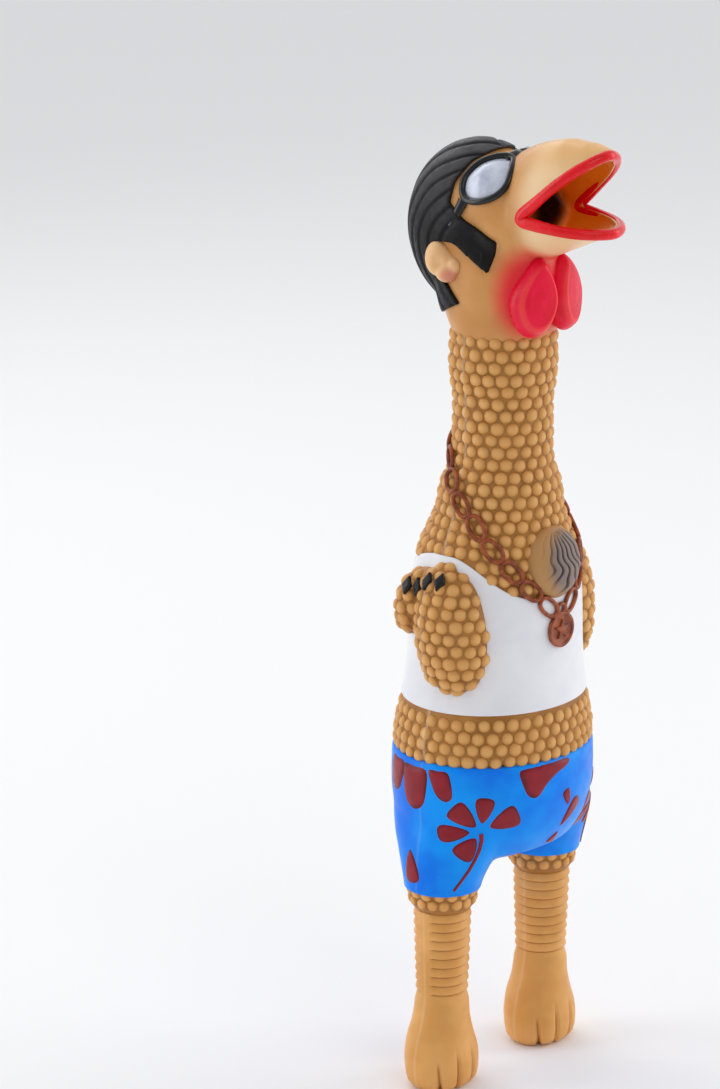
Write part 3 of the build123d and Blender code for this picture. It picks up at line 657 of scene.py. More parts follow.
def makeShorts():
    wide, deep, middle = sectionOf(torsoTree, waistZ + 0.5)
    legX = boxMm("shorts_shell")[1].x - shortsPlan["hemRadius"]
    seat = ringBody("seat", curveThrough([
        (hemLine + 8.0, 0, middle, 24.0, 15.0), (hemLine + 11.0, 0, middle, 29.0, 21.0),
        (hemLine + 18.0, 0, middle, 32.4, 25.2), (hemLine + 28.0, 0, middle, wide + 0.7, deep - 0.2),
        (waistZ, 0, middle, wide + 0.2, deep + 0.1)], 1.5), 96)
    parts = [seat]
    for side in (-1, 1):
        x = side * legX
        parts.append(ringBody("shortsLeg", curveThrough([
            (hemLine - 4.0, x, 7.5, 11.4, 11.4), (hemLine, x, 7.5, 11.6, 11.6),
            (hemLine + 8.0, x - side * 1.4, 7.5, 12.8, 14.6), (hemLine + 17.0, x - side * 4.5, 7.8, 14.8, 19.0),
            (hemLine + 27.0, x - side * 8.0, middle, 16.0, 22.0)], 1.5), 64))
    shorts = joined("shorts", *parts)
    fuse(shorts, 0.75, 14)
    pick(shorts)
    bpy.ops.object.mode_set(mode="EDIT")
    for height, clearUp in ((hemLine, False), (waistZ + 0.3, True)):
        bpy.ops.mesh.select_all(action="SELECT")
        bpy.ops.mesh.bisect(plane_co=(0, 0, height * mm), plane_no=(0, 0, 1), use_fill=True,
                            clear_outer=clearUp, clear_inner=not clearUp)
    bpy.ops.object.mode_set(mode="OBJECT")
    useModifier(shorts, "BEVEL", width=0.5 * mm, segments=3, limit_method="ANGLE", angle_limit=math.radians(60))
    smoothShade(shorts, 50)
    return shorts

shorts = makeShorts()
shortsTree = treeOf(shorts)

def paintShorts():
    mat, tree, shader = newFinish("bluePaint", (0.0, 0.20, 0.83), 0.36, 0.04)
    place = objectPlace(tree)
    shader.inputs["Specular IOR Level"].default_value = 0.15
    cloud = grain(tree, place, 45.0, 3.0)
    tone = ramp(tree, cloud, [(0.34, (0.0, 0.18, 0.88)), (0.66, (0.0, 0.32, 0.99))])
    scuff = grain(tree, place, 1100.0, 4.0)
    tone = blendColours(tree, spread(tree, scuff, 0.66, 0.78, 0.0, 0.35), tone, (0.10, 0.36, 0.90))
    link(tree, mouldLine(tree, place, tone, 8.0, 0.05), shader.inputs["Base Color"])
    roughen(tree, shader, grain(tree, place, 300.0), 0.30, 0.44)
    bumps(tree, shader, grain(tree, place, 450.0, 3.0), 0.08)
    shorts.data.materials.clear()
    shorts.data.materials.append(mat)
    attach(shorts, "torso")
    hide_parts("shorts_shell")

paintShorts()
print("shorts", len(shorts.data.polygons))

# one flower: each petal is its direction, where it starts and ends, its breadth and the notch in its end
flowerPlan = {"petals": [(22, 2.5, 13.4, 9.0, 0.6), (83, 2.0, 11.2, 7.0, 0.3), (140, 1.6, 12.2, 8.2, 0.7),
                         (187, 3.0, 13.2, 6.4, 0.2), (234, 2.4, 11.4, 8.4, 0.3)], "rise": 0.34}

def decal(outline, origin, normal, rings=4):
    # a raised patch: the outline is drawn on the tangent plane and pressed back onto the shorts
    clearPick()
    bpy.ops.mesh.primitive_circle_add(vertices=len(outline), radius=1, fill_type="NOTHING")
    patch = named("decal")
    bpy.ops.object.mode_set(mode="EDIT")
    bpy.ops.mesh.select_all(action="SELECT")
    for k in range(rings):
        bpy.ops.mesh.extrude_region_move(TRANSFORM_OT_translate={"value": (0, 0, 1)})
        keep = (rings - k - 0.5) / (rings - k + 0.5)
        bpy.ops.transform.resize(value=(keep, keep, 1), center_override=(0, 0, 0))
    bpy.ops.mesh.edge_face_add()
    bpy.ops.mesh.poke()
    bpy.ops.object.mode_set(mode="OBJECT")
    middle = sum((Vector(p) for p in outline), Vector((0, 0))) / len(outline)
    relief = patch.data.attributes.new("relief", "FLOAT", "POINT")
    up = Vector((0, 0, 1))
    along = up.cross(normal).normalized()
    rise = normal.cross(along)
    count = len(outline)
    for vertex in patch.data.vertices:
        level = round(vertex.co.z)
        radius = math.hypot(vertex.co.x, vertex.co.y)
        turn = (math.atan2(vertex.co.x, vertex.co.y) / (2 * math.pi)) % 1.0 * count
        a = Vector(outline[int(turn + 0.5) % count]) if radius > 0.02 else middle
        flat = middle + (a - middle) * (radius if level else 1.0)
        start = origin + along * flat.x + rise * flat.y + normal * 14
        hit, away, _, _ = shortsTree.ray_cast(start * mm, -normal)
        if hit is None:
            hit, away, _, _ = shortsTree.find_nearest(start * mm - normal * 14 * mm)
        lift = -0.15 if level == 0 else flowerPlan["rise"] * (0.72 if level == 1 else 1.0)
        vertex.co = hit + away * lift * mm
        relief.data[vertex.index].value = min(1.0, level / 2)
    return outwards(smoothShade(patch))

def petalOutline(angle, near, far, breadth, notch, count=32):
    points = []
    ahead = Vector((math.cos(math.radians(angle)), math.sin(math.radians(angle))))
    side = Vector((-ahead.y, ahead.x))
    for k in range(count):
        t = 2 * math.pi * k / count
        c, n = math.cos(t), math.sin(t)
        reach = 0.5 * (1 + math.copysign(abs(c) ** 0.75, c))
        half = breadth / 2 * (0.24 + 0.90 * reach ** 0.75)
        distance = near + (far - near) * reach
        if c > 0.6:
            distance -= notch * (c - 0.6) / 0.4
        points.append(ahead * distance + side * half * math.copysign(abs(n) ** 0.8, n))
    return points

def ribbon(path, breadth, origin, normal):
    # the stem is too long and thin for a patch drawn round one middle, so it is a strip
    clearPick()
    steps = len(path)
    bpy.ops.mesh.primitive_grid_add(x_subdivisions=4, y_subdivisions=steps - 1, size=2)
    strip = named("decal")
    relief = strip.data.attributes.new("relief", "FLOAT", "POINT")
    along = Vector((0, 0, 1)).cross(normal).normalized()
    rise = normal.cross(along)
    for vertex in strip.data.vertices:
        across = round((vertex.co.x + 1) * 2)
        k = round((vertex.co.y + 1) / 2 * (steps - 1))
        ahead = Vector(path[min(k + 1, steps - 1)]) - Vector(path[max(k - 1, 0)])
        side = Vector((-ahead.y, ahead.x)).normalized()
        flat = Vector(path[k]) + side * (across - 2) / 2 * breadth / 2 * (1.15 - 0.5 * k / steps)
        start = origin + along * flat.x + rise * flat.y + normal * 14
        hit, away, _, _ = shortsTree.ray_cast(start * mm, -normal)
        if hit is None:
            hit, away, _, _ = shortsTree.find_nearest(start * mm - normal * 14 * mm)
        rim = across in (0, 4)
        vertex.co = hit + away * (-0.15 if rim else flowerPlan["rise"]) * mm
        relief.data[vertex.index].value = 0.0 if rim else (1.0 if across == 2 else 0.5)
    return outwards(smoothShade(strip))

wedgeShape = [(-9.0, 3.2), (-3.0, 3.9), (4.0, 4.1), (11.4, 4.1), (10.8, 1.8), (6.2, 0.2), (1.6, -2.6),
              (-2.2, -6.6), (-5.8, -5.8), (-8.0, -1.6)]

# a petal cut off square by the waistband, one unit deep and two across
waistPetal = [(-0.95, -0.02), (0.0, 0.0), (0.95, -0.02), (1.0, -0.45), (0.72, -0.85), (0.0, -1.0),
              (-0.72, -0.85), (-1.0, -0.45)]

def roundedOutline(corners, steps=4):
    points = []
    count = len(corners)
    for i in range(count):
        p0, p1, p2, p3 = [Vector(corners[(i + d) % count]) for d in (-1, 0, 1, 2)]
        for k in range(steps):
            t = k / steps
            points.append(0.5 * (2 * p1 + (p2 - p0) * t + (2 * p0 - 5 * p1 + 4 * p2 - p3) * t * t
                                 + (3 * p1 - p0 - 3 * p2 + p3) * t ** 3))
    return points

def onShorts(turn, height):
    angle = math.radians(turn)
    ahead = Vector((math.sin(angle), -math.cos(angle), 0))
    start = Vector((0, bodyLevels[0][2], height)) + ahead * 90
    hit, away, _, _ = shortsTree.ray_cast(start * mm, -ahead)
    return hit / mm, away

def makeFlowers():
    made = []

    def petalsAt(turn, height, petals, scale=1.0, twist=0.0):
        origin, normal = onShorts(turn, height)
        for angle, near, far, breadth, notch in petals:
            outline = petalOutline(angle + twist, near * scale, far * scale, breadth * scale, notch)
            made.append(decal(outline, origin, normal))
        return origin, normal

    stem = [(0.0, -0.9), (0.2, -3.0), (-0.4, -6.0), (-1.6, -9.4), (-3.4, -13.0), (-5.6, -16.4), (-7.6, -19.4)]
    whole = flowerPlan["petals"]
    for turn, height, scale, twist in ((-56, 85.5, 1.0, 0), (58, 84.5, 0.95, 40), (146, 85.5, 1.0, 15)):
        origin, normal = petalsAt(turn, height, whole, scale, twist)
        line = [(x * (-1 if turn > 0 else 1), z) for x, z in stem]
        made.append(ribbon(line, 1.5, origin, normal))
    for turn in (-97, 99, -170):
        for shift, lean, low, half in ((-14, -1.5, 11.5, 5.0), (2, 0.5, 14.5, 5.4), (17, 3.0, 10.0, 3.6)):
            origin, normal = onShorts(turn + shift, waistZ - 1.4)
            corners = [(x * half - z * lean, z * low) for x, z in waistPetal]
            made.append(decal(roundedOutline(corners), origin, normal))
    for turn in (-18, 125):
        origin, normal = onShorts(turn, waistZ - 4.5)
        made.append(decal(roundedOutline(wedgeShape), origin, normal))
    petalsAt(10, 85.0, [(55, -5.0, 7.0, 6.5, 0.5), (115, 4.0, 11.0, 4.0, 0.4), (250, 6.0, 11.5, 4.5, 0.4)])
    petalsAt(-94, 72.0, [(280, -5.5, 6.0, 7.6, 0.4)])
    petalsAt(112, 72.0, [(255, -6.0, 5.6, 6.6, 0.4)])
    petalsAt(178, 73.0, [(300, -3.0, 7.0, 5.0, 0.4), (240, -2.0, 6.0, 4.4, 0.4)])
    flowers = joined("flowers", *made)
    mat, tree, shader = newFinish("flowerPaint", (0.21, 0.012, 0.024), 0.34, 0.1, 0.03)
    place = objectPlace(tree)
    # painted shade: each petal goes nearly black at its sunk edge and lightens towards its raised middle
    tone = ramp(tree, attribute(tree, "relief"), [(0.0, (0.02, 0.008, 0.04)), (0.35, (0.13, 0.004, 0.010)),
                                                  (0.7, (0.25, 0.008, 0.018))])
    patchy = spread(tree, grain(tree, place, 220.0, 3.0), 0.4, 0.65, 0.0, 0.5)
    link(tree, blendColours(tree, patchy, tone, (0.33, 0.016, 0.03)), shader.inputs["Base Color"])
    roughen(tree, shader, grain(tree, place, 400.0), 0.28, 0.42)
    bumps(tree, shader, grain(tree, place, 700.0, 3.0), 0.1)
    flowers.data.materials.clear()
    flowers.data.materials.append(mat)
    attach(flowers, "torso")
    return flowers

flowers = makeFlowers()
print("flowers")


# marks on the arm, chest tuft, chain and medallion

def makeArmMarks():
    low, high = boxMm("arm_band")
    count = 4
    tree = wings[-1][1]
    made = []
    clearPick()
    bpy.ops.mesh.primitive_cylinder_add(vertices=4, radius=1, depth=1)
    lozenge = named("lozenge")
    bpy.ops.object.mode_set(mode="EDIT")
    bpy.ops.mesh.select_all(action="SELECT")
    bpy.ops.transform.resize(value=(1.75 * mm, 3.1 * mm, 1.5 * mm), center_override=(0, 0, 0))
    bpy.ops.mesh.bevel(offset=0.45 * mm, segments=3, affect="EDGES")
    bpy.ops.mesh.primitive_cylinder_add(vertices=4, radius=1, depth=1)
    bpy.ops.transform.resize(value=(0.75 * mm, 1.5 * mm, 0.6 * mm), center_override=(0, 0, 0))
    bpy.ops.transform.translate(value=(0, 0, 0.55 * mm))
    bpy.ops.object.mode_set(mode="OBJECT")
    for k in range(count):
        share = k / (count - 1)
        point = Vector((low.x + 1.0 + 1.6 * share, high.y + 2.2 - (high.y - low.y - 4.4) * share, high.z + 6))
        aim = Vector((0.50, -0.05, -0.86)).normalized()
        hit, away, _, _ = tree.ray_cast((point - aim * 12) * mm, aim)
        if hit is None:
            hit, away, _, _ = tree.find_nearest(point * mm)
        made.append(stamp(lozenge, upright(hit / mm + away * 0.9, away, 0.0, (0.1, -1.0, 0.0))))
    bpy.data.objects.remove(lozenge)
    marks = joined("armMarks", *made)
    smoothShade(marks, 40)
    mat, tree, shader = newFinish("blackMarks", (0.006, 0.006, 0.009), 0.28, 0.25)
    place = objectPlace(tree)
    wear = spread(tree, grain(tree, place, 900.0, 3.0), 0.6, 0.75, 0.0, 0.4)
    tone = blendColours(tree, wear, (0.006, 0.006, 0.009), (0.05, 0.045, 0.045))
    link(tree, tone, shader.inputs["Base Color"])
    bumps(tree, shader, grain(tree, place, 900.0), 0.1)
    marks.data.materials.clear()
    marks.data.materials.append(mat)
    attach(marks, "torso")
    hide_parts("arm_band")

makeArmMarks()
print("arm marks")

tuftPlan = {"half": (10.4, 6.6, 10.8), "groove": 0.42, "strands": 3.3}

def makeTuft():
    low, high = boxMm("chest_tuft")
    centreZ = (low.z + high.z) / 2
    point, normal = spotOn(bodyLevels, centreZ, 0.0)
    half = tuftPlan["half"]
    tuft = egg("chestTuft", (0, 0, 0), (half[0], half[2], half[1]), 144, 96)
    relief = tuft.data.attributes.new("relief", "FLOAT", "POINT")
    normals = [v.normal.copy() for v in tuft.data.vertices]
    for vertex, out in zip(tuft.data.vertices, normals):
        x, y = vertex.co.x / mm / half[0], vertex.co.y / mm / half[2]
        # strands fan out from the top, each with a slow wave along it
        fan = math.atan2(x + 0.12, 1.15 - y) + 0.10 * math.sin(4.2 * y + 1.5 * x) + 0.04 * math.sin(11 * y)
        phase = fan * tuftPlan["strands"] * 2.1
        dip = (0.5 + 0.5 * math.cos(2 * math.pi * phase / 1.55)) ** 5
        fine = (0.5 + 0.5 * math.cos(2 * math.pi * phase / 0.52)) ** 2
        inside = blurredStep(1 - x * x - y * y, 0.02, 0.35)
        inside *= 0.45 + 0.55 * blurredStep(x + 0.5 * y, -1.0, -0.3)
        vertex.co -= out * (dip * tuftPlan["groove"] + fine * 0.05) * inside * mm
        relief.data[vertex.index].value = 1 - dip * inside
    stand = upright(point + Vector((0, 1.2, 0)), normal, 0.0, (1, 0, 0))
    tuft.data.transform(stand)
    smoothShade(tuft)
    mat, tree, shader = newFinish("tuftPaint", (0.12, 0.085, 0.08), 0.42, 0.06, 0.04)
    place = objectPlace(tree)
    # painted shade: the strand grooves are painted deeper brown than the ridges
    hair = ramp(tree, attribute(tree, "relief"), [(0.1, (0.035, 0.022, 0.018)), (0.6, (0.12, 0.085, 0.078)),
                                                  (1.0, (0.24, 0.185, 0.165))])
    spray = nearPoint(tree, place, point + Vector((1.8, -3, 0.4)), (10.4, 12, 11.5), 0.62, 1.02)
    patchy = sums(tree, "MULTIPLY", spray, spread(tree, grain(tree, place, 200.0, 2.0), 0.2, 0.5, 0.8, 1.0))
    link(tree, blendColours(tree, patchy, (0.50, 0.27, 0.10), hair), shader.inputs["Base Color"])
    roughen(tree, shader, grain(tree, place, 500.0), 0.34, 0.5)
    bumps(tree, shader, grain(tree, place, 1500.0, 3.0), 0.12)
    tuft.data.materials.append(mat)
    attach(tuft, "torso")
    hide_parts("chest_tuft")

makeTuft()
print("chest tuft")

chainPlan = {"length": 8.9, "width": 5.6, "wire": 0.66, "lift": 1.25, "bottom": 146.8, "climb": 51.0}

def chainSpot(turn):
    # the chain hangs low in front and lies over the shoulders behind the neck
    height = chainPlan["bottom"] + chainPlan["climb"] * abs(math.sin(turn / 2))
    point, normal = spotOn(bodyLevels, height, turn)
    return point + normal * chainPlan["lift"], normal

def chainFinish():
    mat, tree, shader = newFinish("copperPaint", (0.26, 0.062, 0.022), 0.32, 0.15, 0.02)
    place = objectPlace(tree)
    patchy = spread(tree, grain(tree, place, 420.0, 3.0), 0.4, 0.62)
    tone = blendColours(tree, patchy, (0.36, 0.085, 0.026), (0.20, 0.042, 0.016))
    worn = spread(tree, grain(tree, place, 1500.0, 3.0), 0.64, 0.76, 0.0, 0.5)
    link(tree, blendColours(tree, worn, tone, (0.48, 0.17, 0.07)), shader.inputs["Base Color"])
    roughen(tree, shader, grain(tree, place, 600.0), 0.24, 0.42)
    bumps(tree, shader, grain(tree, place, 900.0, 3.0), 0.14)
    return mat

def makeChain():
    mat = chainFinish()
    clearPick()
    bpy.ops.mesh.primitive_torus_add(major_segments=40, minor_segments=12, major_radius=1, minor_radius=0.25)
    pattern = named("linkPattern")
    halfLong = chainPlan["length"] / 2 - chainPlan["wire"]
    halfWide = chainPlan["width"] / 2 - chainPlan["wire"]
    for vertex in pattern.data.vertices:
        turn = math.atan2(vertex.co.y, vertex.co.x)
        ring = math.hypot(vertex.co.x, vertex.co.y) - 1
        wire = chainPlan["wire"] / 0.25
        squared = (abs(math.cos(turn)) ** 2.4 + abs(math.sin(turn)) ** 2.4) ** (-1 / 2.4)
        mid = Vector((halfLong * squared * math.cos(turn), halfWide * squared * math.sin(turn), 0))
        out = Vector((math.cos(turn) / halfLong, math.sin(turn) / halfWide, 0)).normalized()
        vertex.co = (mid + out * ring * wire + Vector((0, 0, vertex.co.z * wire))) * mm
    made = []
    for side in (-1, 1):
        turn, last = 0.0, chainSpot(0.0)[0]
        walked, wanted = 0.0, chainPlan["length"] / 2 + 2.2
        while turn < math.pi - 0.02:
            turn += 0.01
            here = chainSpot(side * turn)[0]
            walked += (here - last).length
            last = here
            if walked >= wanted:
                point, normal = chainSpot(side * turn)
                ahead = chainSpot(side * (turn + 0.05))[0] - point
                tilt = math.radians(random.uniform(-7, 7))
                made.append(stamp(pattern, upright(point, normal, tilt, ahead)))
                wanted += chainPlan["length"] - 0.45
    bpy.data.objects.remove(pattern)
    chain = joined("necklaceChain", *made)
    smoothShade(chain)
    chain.data.materials.clear()
    chain.data.materials.append(mat)
    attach(chain, "torso")
    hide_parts("necklace_links")
    return mat

copper = makeChain()
print("chain")

medalPlan = {"radius": 5.4, "thick": 1.2, "star": 3.5}

def makePendant():
    high = boxMm("pendant")[1]
    vestLevels = [(h, x, y, w + vestPlan["proud"], d + vestPlan["proud"]) for h, x, y, w, d in bodyLevels]
    point, normal = spotOn(vestLevels, high.z - 8.6, 0.0)
    clearPick()
    bpy.ops.mesh.primitive_cylinder_add(vertices=64, radius=medalPlan["radius"] * mm,
                                        depth=medalPlan["thick"] * mm)
    disc = named("medal")
    bpy.ops.object.mode_set(mode="EDIT")
    bpy.ops.mesh.select_all(action="DESELECT")
    bpy.ops.object.mode_set(mode="OBJECT")
    for face in disc.data.polygons:
        face.select = face.normal.z > 0.9
    bpy.ops.object.mode_set(mode="EDIT")
    bpy.ops.mesh.inset(thickness=0.85 * mm, depth=0)
    bpy.ops.mesh.inset(thickness=0.22 * mm, depth=-0.4 * mm)
    bpy.ops.object.mode_set(mode="OBJECT")
    clearPick()
    bpy.ops.mesh.primitive_circle_add(vertices=10, radius=medalPlan["star"] * mm, fill_type="NGON")
    star = named("star")
    for vertex in star.data.vertices:
        if vertex.index % 2:
            vertex.co *= 0.42
    bpy.ops.object.mode_set(mode="EDIT")
    bpy.ops.mesh.select_all(action="SELECT")
    bpy.ops.mesh.extrude_region_move(TRANSFORM_OT_translate={"value": (0, 0, 0.65 * mm)})
    bpy.ops.transform.resize(value=(0.86, 0.86, 1), center_override=(0, 0, 0))
    bpy.ops.mesh.select_all(action="SELECT")
    bpy.ops.mesh.normals_make_consistent(inside=False)
    bpy.ops.transform.translate(value=(0, 0, 0.1 * mm))
    bpy.ops.object.mode_set(mode="OBJECT")
    clearPick()
    bpy.ops.mesh.primitive_torus_add(major_segments=32, minor_segments=10, major_radius=1.5 * mm,
                                     minor_radius=0.55 * mm)
    bail = named("bail")
    bail.location = (0, (medalPlan["radius"] + 1.0) * mm, 0.1 * mm)
    settle(bail)
    pendant = joined("pendantMedal", disc, star, bail)
    useModifier(pendant, "BEVEL", width=0.14 * mm, segments=2, limit_method="ANGLE",
                angle_limit=math.radians(40))
    smoothShade(pendant, 45)
    pendant.data.transform(upright(point + normal * 0.55, normal, 0.0, (1, 0, 0)))
    pendant.data.materials.clear()
    pendant.data.materials.append(copper)
    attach(pendant, "torso")
    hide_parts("pendant")

makePendant()
print("pendant")


# legs

legPlan = {"footSpread": (1.3, 0.9), "footBack": 1.0, "nubRadius": 2.2, "nubHeight": 0.9, "rings": 10,
           "step": 0.44, "bandHalf": 17.0, "tan": (0.70, 0.40, 0.16)}

def legFinish(name):
    mat, tree, shader = newFinish(name, legPlan["tan"], 0.40, 0.06, 0.12)
    place = objectPlace(tree)
    drift = grain(tree, place, 80.0, 2.0)
    tone = ramp(tree, drift, [(0.3, (0.70, 0.335, 0.088)), (0.7, (0.80, 0.41, 0.125))])
    # painted shade: deeper in the hollows between the nubs, in the grooves between the shin's rings and in the
    # creases between the toes
    paintedShade = spread(tree, attribute(tree, "relief"), 0.0, 0.8, 0.85, 0.0)
    tone = blendColours(tree, paintedShade, tone, (0.36, 0.14, 0.028))
    fleck = spread(tree, grain(tree, place, 2200.0, 2.0), 0.62, 0.8, 0.0, 0.15)
    tone = blendColours(tree, fleck, tone, (0.36, 0.19, 0.08))
    link(tree, mouldLine(tree, place, tone, 7.5, 0.18), shader.inputs["Base Color"])
    roughen(tree, shader, grain(tree, place, 600.0), 0.34, 0.50)
    bumps(tree, shader, grain(tree, place, 1500.0, 4.0), 0.10)
    return mat

def makeLeg(side, nubPattern, mat):
    word = sideWord[side]
    pivot = hipPivot[side]
    cuffLow = boxMm("cuff_" + word)[0]
    shinLow, shinHigh = boxMm("shin_" + word)
    x, y = pivot.x, pivot.y
    top = hemLine + 2.5
    low = cuffLow.z + shortsPlan["hemRaise"]
    cuffLevels = curveThrough([(low - 1.5, x, y, 7.2, 7.2), (low, x, y, 8.9, 8.9), (low + 1.0, x, y, 9.5, 9.5),
                               (low + 4.2, x, y, 9.8, 9.8), (low + 7.0, x, y, 10.6, 10.6),
                               (top, x, y, 10.7, 10.7)], 1.0)
    cuff = ringBody("cuff" + word.title(), cuffLevels, 64)
    spots = []
    for row, height in enumerate((low + 2.7, low + 5.6)):
        for k in range(16):
            turn = 2 * math.pi * (k + 0.5 * row) / 16 + random.uniform(-0.03, 0.03)
            spots.append(spotOn(cuffLevels, height + random.uniform(-0.15, 0.15), turn))
    cuff = joined("cuff" + word.title(), cuff, *setNubs(nubPattern, spots))
    smoothShade(cuff)
    cuff.data.materials.clear()
    cuff.data.materials.append(mat)
    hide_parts("cuff_" + word)
    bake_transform(cuff)

    # the shin's rings overlap like a telescope, each one standing out at its lower edge
    bottom = shinLow.z - 1.0
    topZ = shinHigh.z + shortsPlan["hemRaise"] - 0.6
    topR, lowR = (shinHigh.x - shinLow.x) / 2 - 0.1, (shinHigh.x - shinLow.x) / 2 - 1.1
    pitch = (topZ - bottom) / legPlan["rings"]
    rows = []
    for k in range(legPlan["rings"]):
        base = bottom + k * pitch
        mid = lowR + (topR - lowR) * (k + 0.5) / legPlan["rings"]
        for share, out in ((0.0, -0.45), (0.07, -0.05), (0.14, 0.30), (0.22, 0.42), (0.45, 0.30), (0.7, 0.02),
                           (0.92, -0.28)):
            radius = mid - 0.3 + out * legPlan["step"] / 0.45
            rows.append((base + share * pitch, x, y, radius, radius))
    rows.append((topZ, x, y, topR - 1.2, topR - 1.2))
    shin = ringBody("shin" + word.title(), rows, 96)
    relief = shin.data.attributes.new("relief", "FLOAT", "POINT")
    for vertex in shin.data.vertices:
        dx, dy, z = vertex.co.x / mm - x, vertex.co.y / mm - y, vertex.co.z / mm
        radius = math.hypot(dx, dy)
        k = (z - bottom) / pitch
        mid = lowR + (topR - lowR) * min(1.0, max(0.0, k / legPlan["rings"]))
        if radius < 0.5:
            continue
        turn = math.degrees(math.atan2(dx * side, -dy))
        gap = abs((turn - 90 + 180) % 360 - 180)
        smooth = 1 - blurredStep(gap, legPlan["bandHalf"] - 4, legPlan["bandHalf"] + 4)
        share = (k + 1e-4) % 1.0
        # painted shade in the groove between one ring and the next, kept off the smooth band
        paintedShade = 1.0 if share < 0.09 else (0.45 if share < 0.16 else (0.4 if share > 0.9 else 0.0))
        relief.data[vertex.index].value = 1 - paintedShade * (1 - smooth)
        new = radius + (mid + 0.05 - radius) * smooth
        vertex.co.x = (x + dx / radius * new) * mm
        vertex.co.y = (y + dy / radius * new) * mm
    smoothShade(shin)
    shin.data.materials.append(mat)
    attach(shin, "leg_" + word)
    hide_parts("shin_" + word)

    footLow, footHigh = boxMm("foot_" + word)
    wide, deep = (footHigh.x - footLow.x) / 2, (footHigh.y - footLow.y) / 2
    midY = (footHigh.y + footLow.y) / 2 + legPlan["footBack"]
    wide, deep = wide + legPlan["footSpread"][0], deep + legPlan["footSpread"][1]
    tall = footHigh.z
    ankle = lowR + 0.35
    rows = curveThrough([
        (0.0, x, midY, wide - 4.6, deep - 4.6), (0.7, x, midY, wide - 2.4, deep - 2.4),
        (2.4, x, midY, wide - 0.9, deep - 0.9), (6.0, x, midY, wide - 0.2, deep - 0.2),
        (10.5, x, midY + 0.2, wide - 0.1, deep - 0.2), (16.0, x, midY + 0.7, wide - 1.2, deep - 1.3),
        (21.5, x, (midY + y) / 2 + 0.3, (wide + ankle) / 2 - 0.9, (deep + ankle) / 2 - 0.9),
        (tall - 1.6, x, y, ankle + 0.15, ankle + 0.15), (tall, x, y, ankle - 0.25, ankle - 0.25),
        (tall + 2, x, y, ankle - 0.7, ankle - 0.7)], 0.7)
    foot = ringBody("foot" + word.title(), rows, 180)
    relief = foot.data.attributes.new("relief", "FLOAT", "POINT")
    for vertex in foot.data.vertices:
        dx, dy, z = vertex.co.x / mm - x, vertex.co.y / mm - midY, vertex.co.z / mm
        radius = math.hypot(dx, dy)
        turn = math.degrees(math.atan2(dx, -dy))
        cut, shade, swell = 0.0, 0.0, 0.0
        for at, long, bend in ((-52, 13.0, -6), (-17, 15.5, -4), (17, 15.5, 4), (52, 13.0, 6)):
            away = abs(turn - at - bend * (z / 15) ** 1.5) * 0.19
            fade = 1 - blurredStep(z, 0.55 * long, long)
            cut += 1.15 * fade * math.exp(-(away / 0.62) ** 2) * (1 - 0.35 * blurredStep(z, 0, long))
            shade += fade * math.exp(-(away / 0.42) ** 2)
        if abs(turn) < 80:
            swell = 0.35 * (1 - blurredStep(z, 3, 14)) * abs(math.sin(math.radians((turn + 17) / 34.5 * 180)))
        if z < 0.05:
            cut = cut * 0.5
        scale = (radius - cut + swell) / radius if radius > 1 else 1.0
        vertex.co.x = (x + dx * scale) * mm
        vertex.co.y = (midY + dy * scale) * mm
        # the sole is drawn up into each crease, so the edge below is scalloped
        if z < 6 and radius > 2:
            vertex.co.z += min(1.0, cut) * 1.7 * (1 - z / 6) * blurredStep(radius, wide - 7, wide - 3) * mm
        relief.data[vertex.index].value = 1 - min(1.0, shade * 0.9)
    smoothShade(foot)
    foot.data.materials.append(mat)
    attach(foot, "leg_" + word)
    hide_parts("foot_" + word)

def makeLegs():
    pattern = makeNub("legNub", legPlan["nubRadius"], legPlan["nubHeight"] + 0.1)
    mat = legFinish("legLatex")
    for side in (-1, 1):
        makeLeg(side, pattern, mat)
    bpy.data.objects.remove(pattern)

makeLegs()
print("legs")


# head

headPlan = {"voxel": 0.6, "beakWidth": 28.6, "upperLength": 28.2, "lowerLength": 23.4, "upperHeight": 19.6,
            "lowerHeight": 13.6, "upperPitch": 40.6, "lowerPitch": -6.0, "wall": 2.2, "foldLow": 231.0,
            "foldHigh": 245.0, "jawLine": -10.5}
# how the upper (1) and lower (-1) beak narrow: share of the length, of the width and of the height
beakRows = {1: [(0.0, 1.0, 1.0), (0.33, 0.96, 0.90), (0.66, 0.81, 0.66), (0.87, 0.56, 0.38),
                (0.965, 0.34, 0.20), (1.0, 0.16, 0.09)],
            -1: [(0.0, 1.0, 1.0), (0.33, 0.96, 0.72), (0.66, 0.81, 0.40), (0.87, 0.56, 0.22),
                 (0.965, 0.34, 0.14), (1.0, 0.16, 0.08)]}
midPitch = math.radians((headPlan["upperPitch"] + headPlan["lowerPitch"]) / 2)
aboveMouth = Vector((0, math.sin(midPitch), math.cos(midPitch)))

def mouthFrame(pitch):
    angle = math.radians(pitch)
    ahead = Vector((0, -math.cos(angle), math.sin(angle)))
    basis = Matrix((Vector((1, 0, 0)), Vector((0, ahead.z, -ahead.y)), ahead)).transposed().to_4x4()
    return Matrix.Translation(mouthCorner * mm) @ basis

def prism(name, outline, halfWidth):
    # an outline in the y-z plane made solid from side to side
    clearPick()
    bpy.ops.mesh.primitive_circle_add(vertices=len(outline), radius=1, fill_type="NOTHING")
    obj = named(name)
    for vertex, (y, z) in zip(obj.data.vertices, outline):
        vertex.co = Vector((-halfWidth, y, z)) * mm
    bpy.ops.object.mode_set(mode="EDIT")
    bpy.ops.mesh.select_all(action="SELECT")
    bpy.ops.mesh.edge_face_add()
    bpy.ops.mesh.extrude_region_move(TRANSFORM_OT_translate={"value": (2 * halfWidth * mm, 0, 0)})
    bpy.ops.mesh.select_all(action="SELECT")
    bpy.ops.mesh.normals_make_consistent(inside=False)
    bpy.ops.object.mode_set(mode="OBJECT")
    return obj

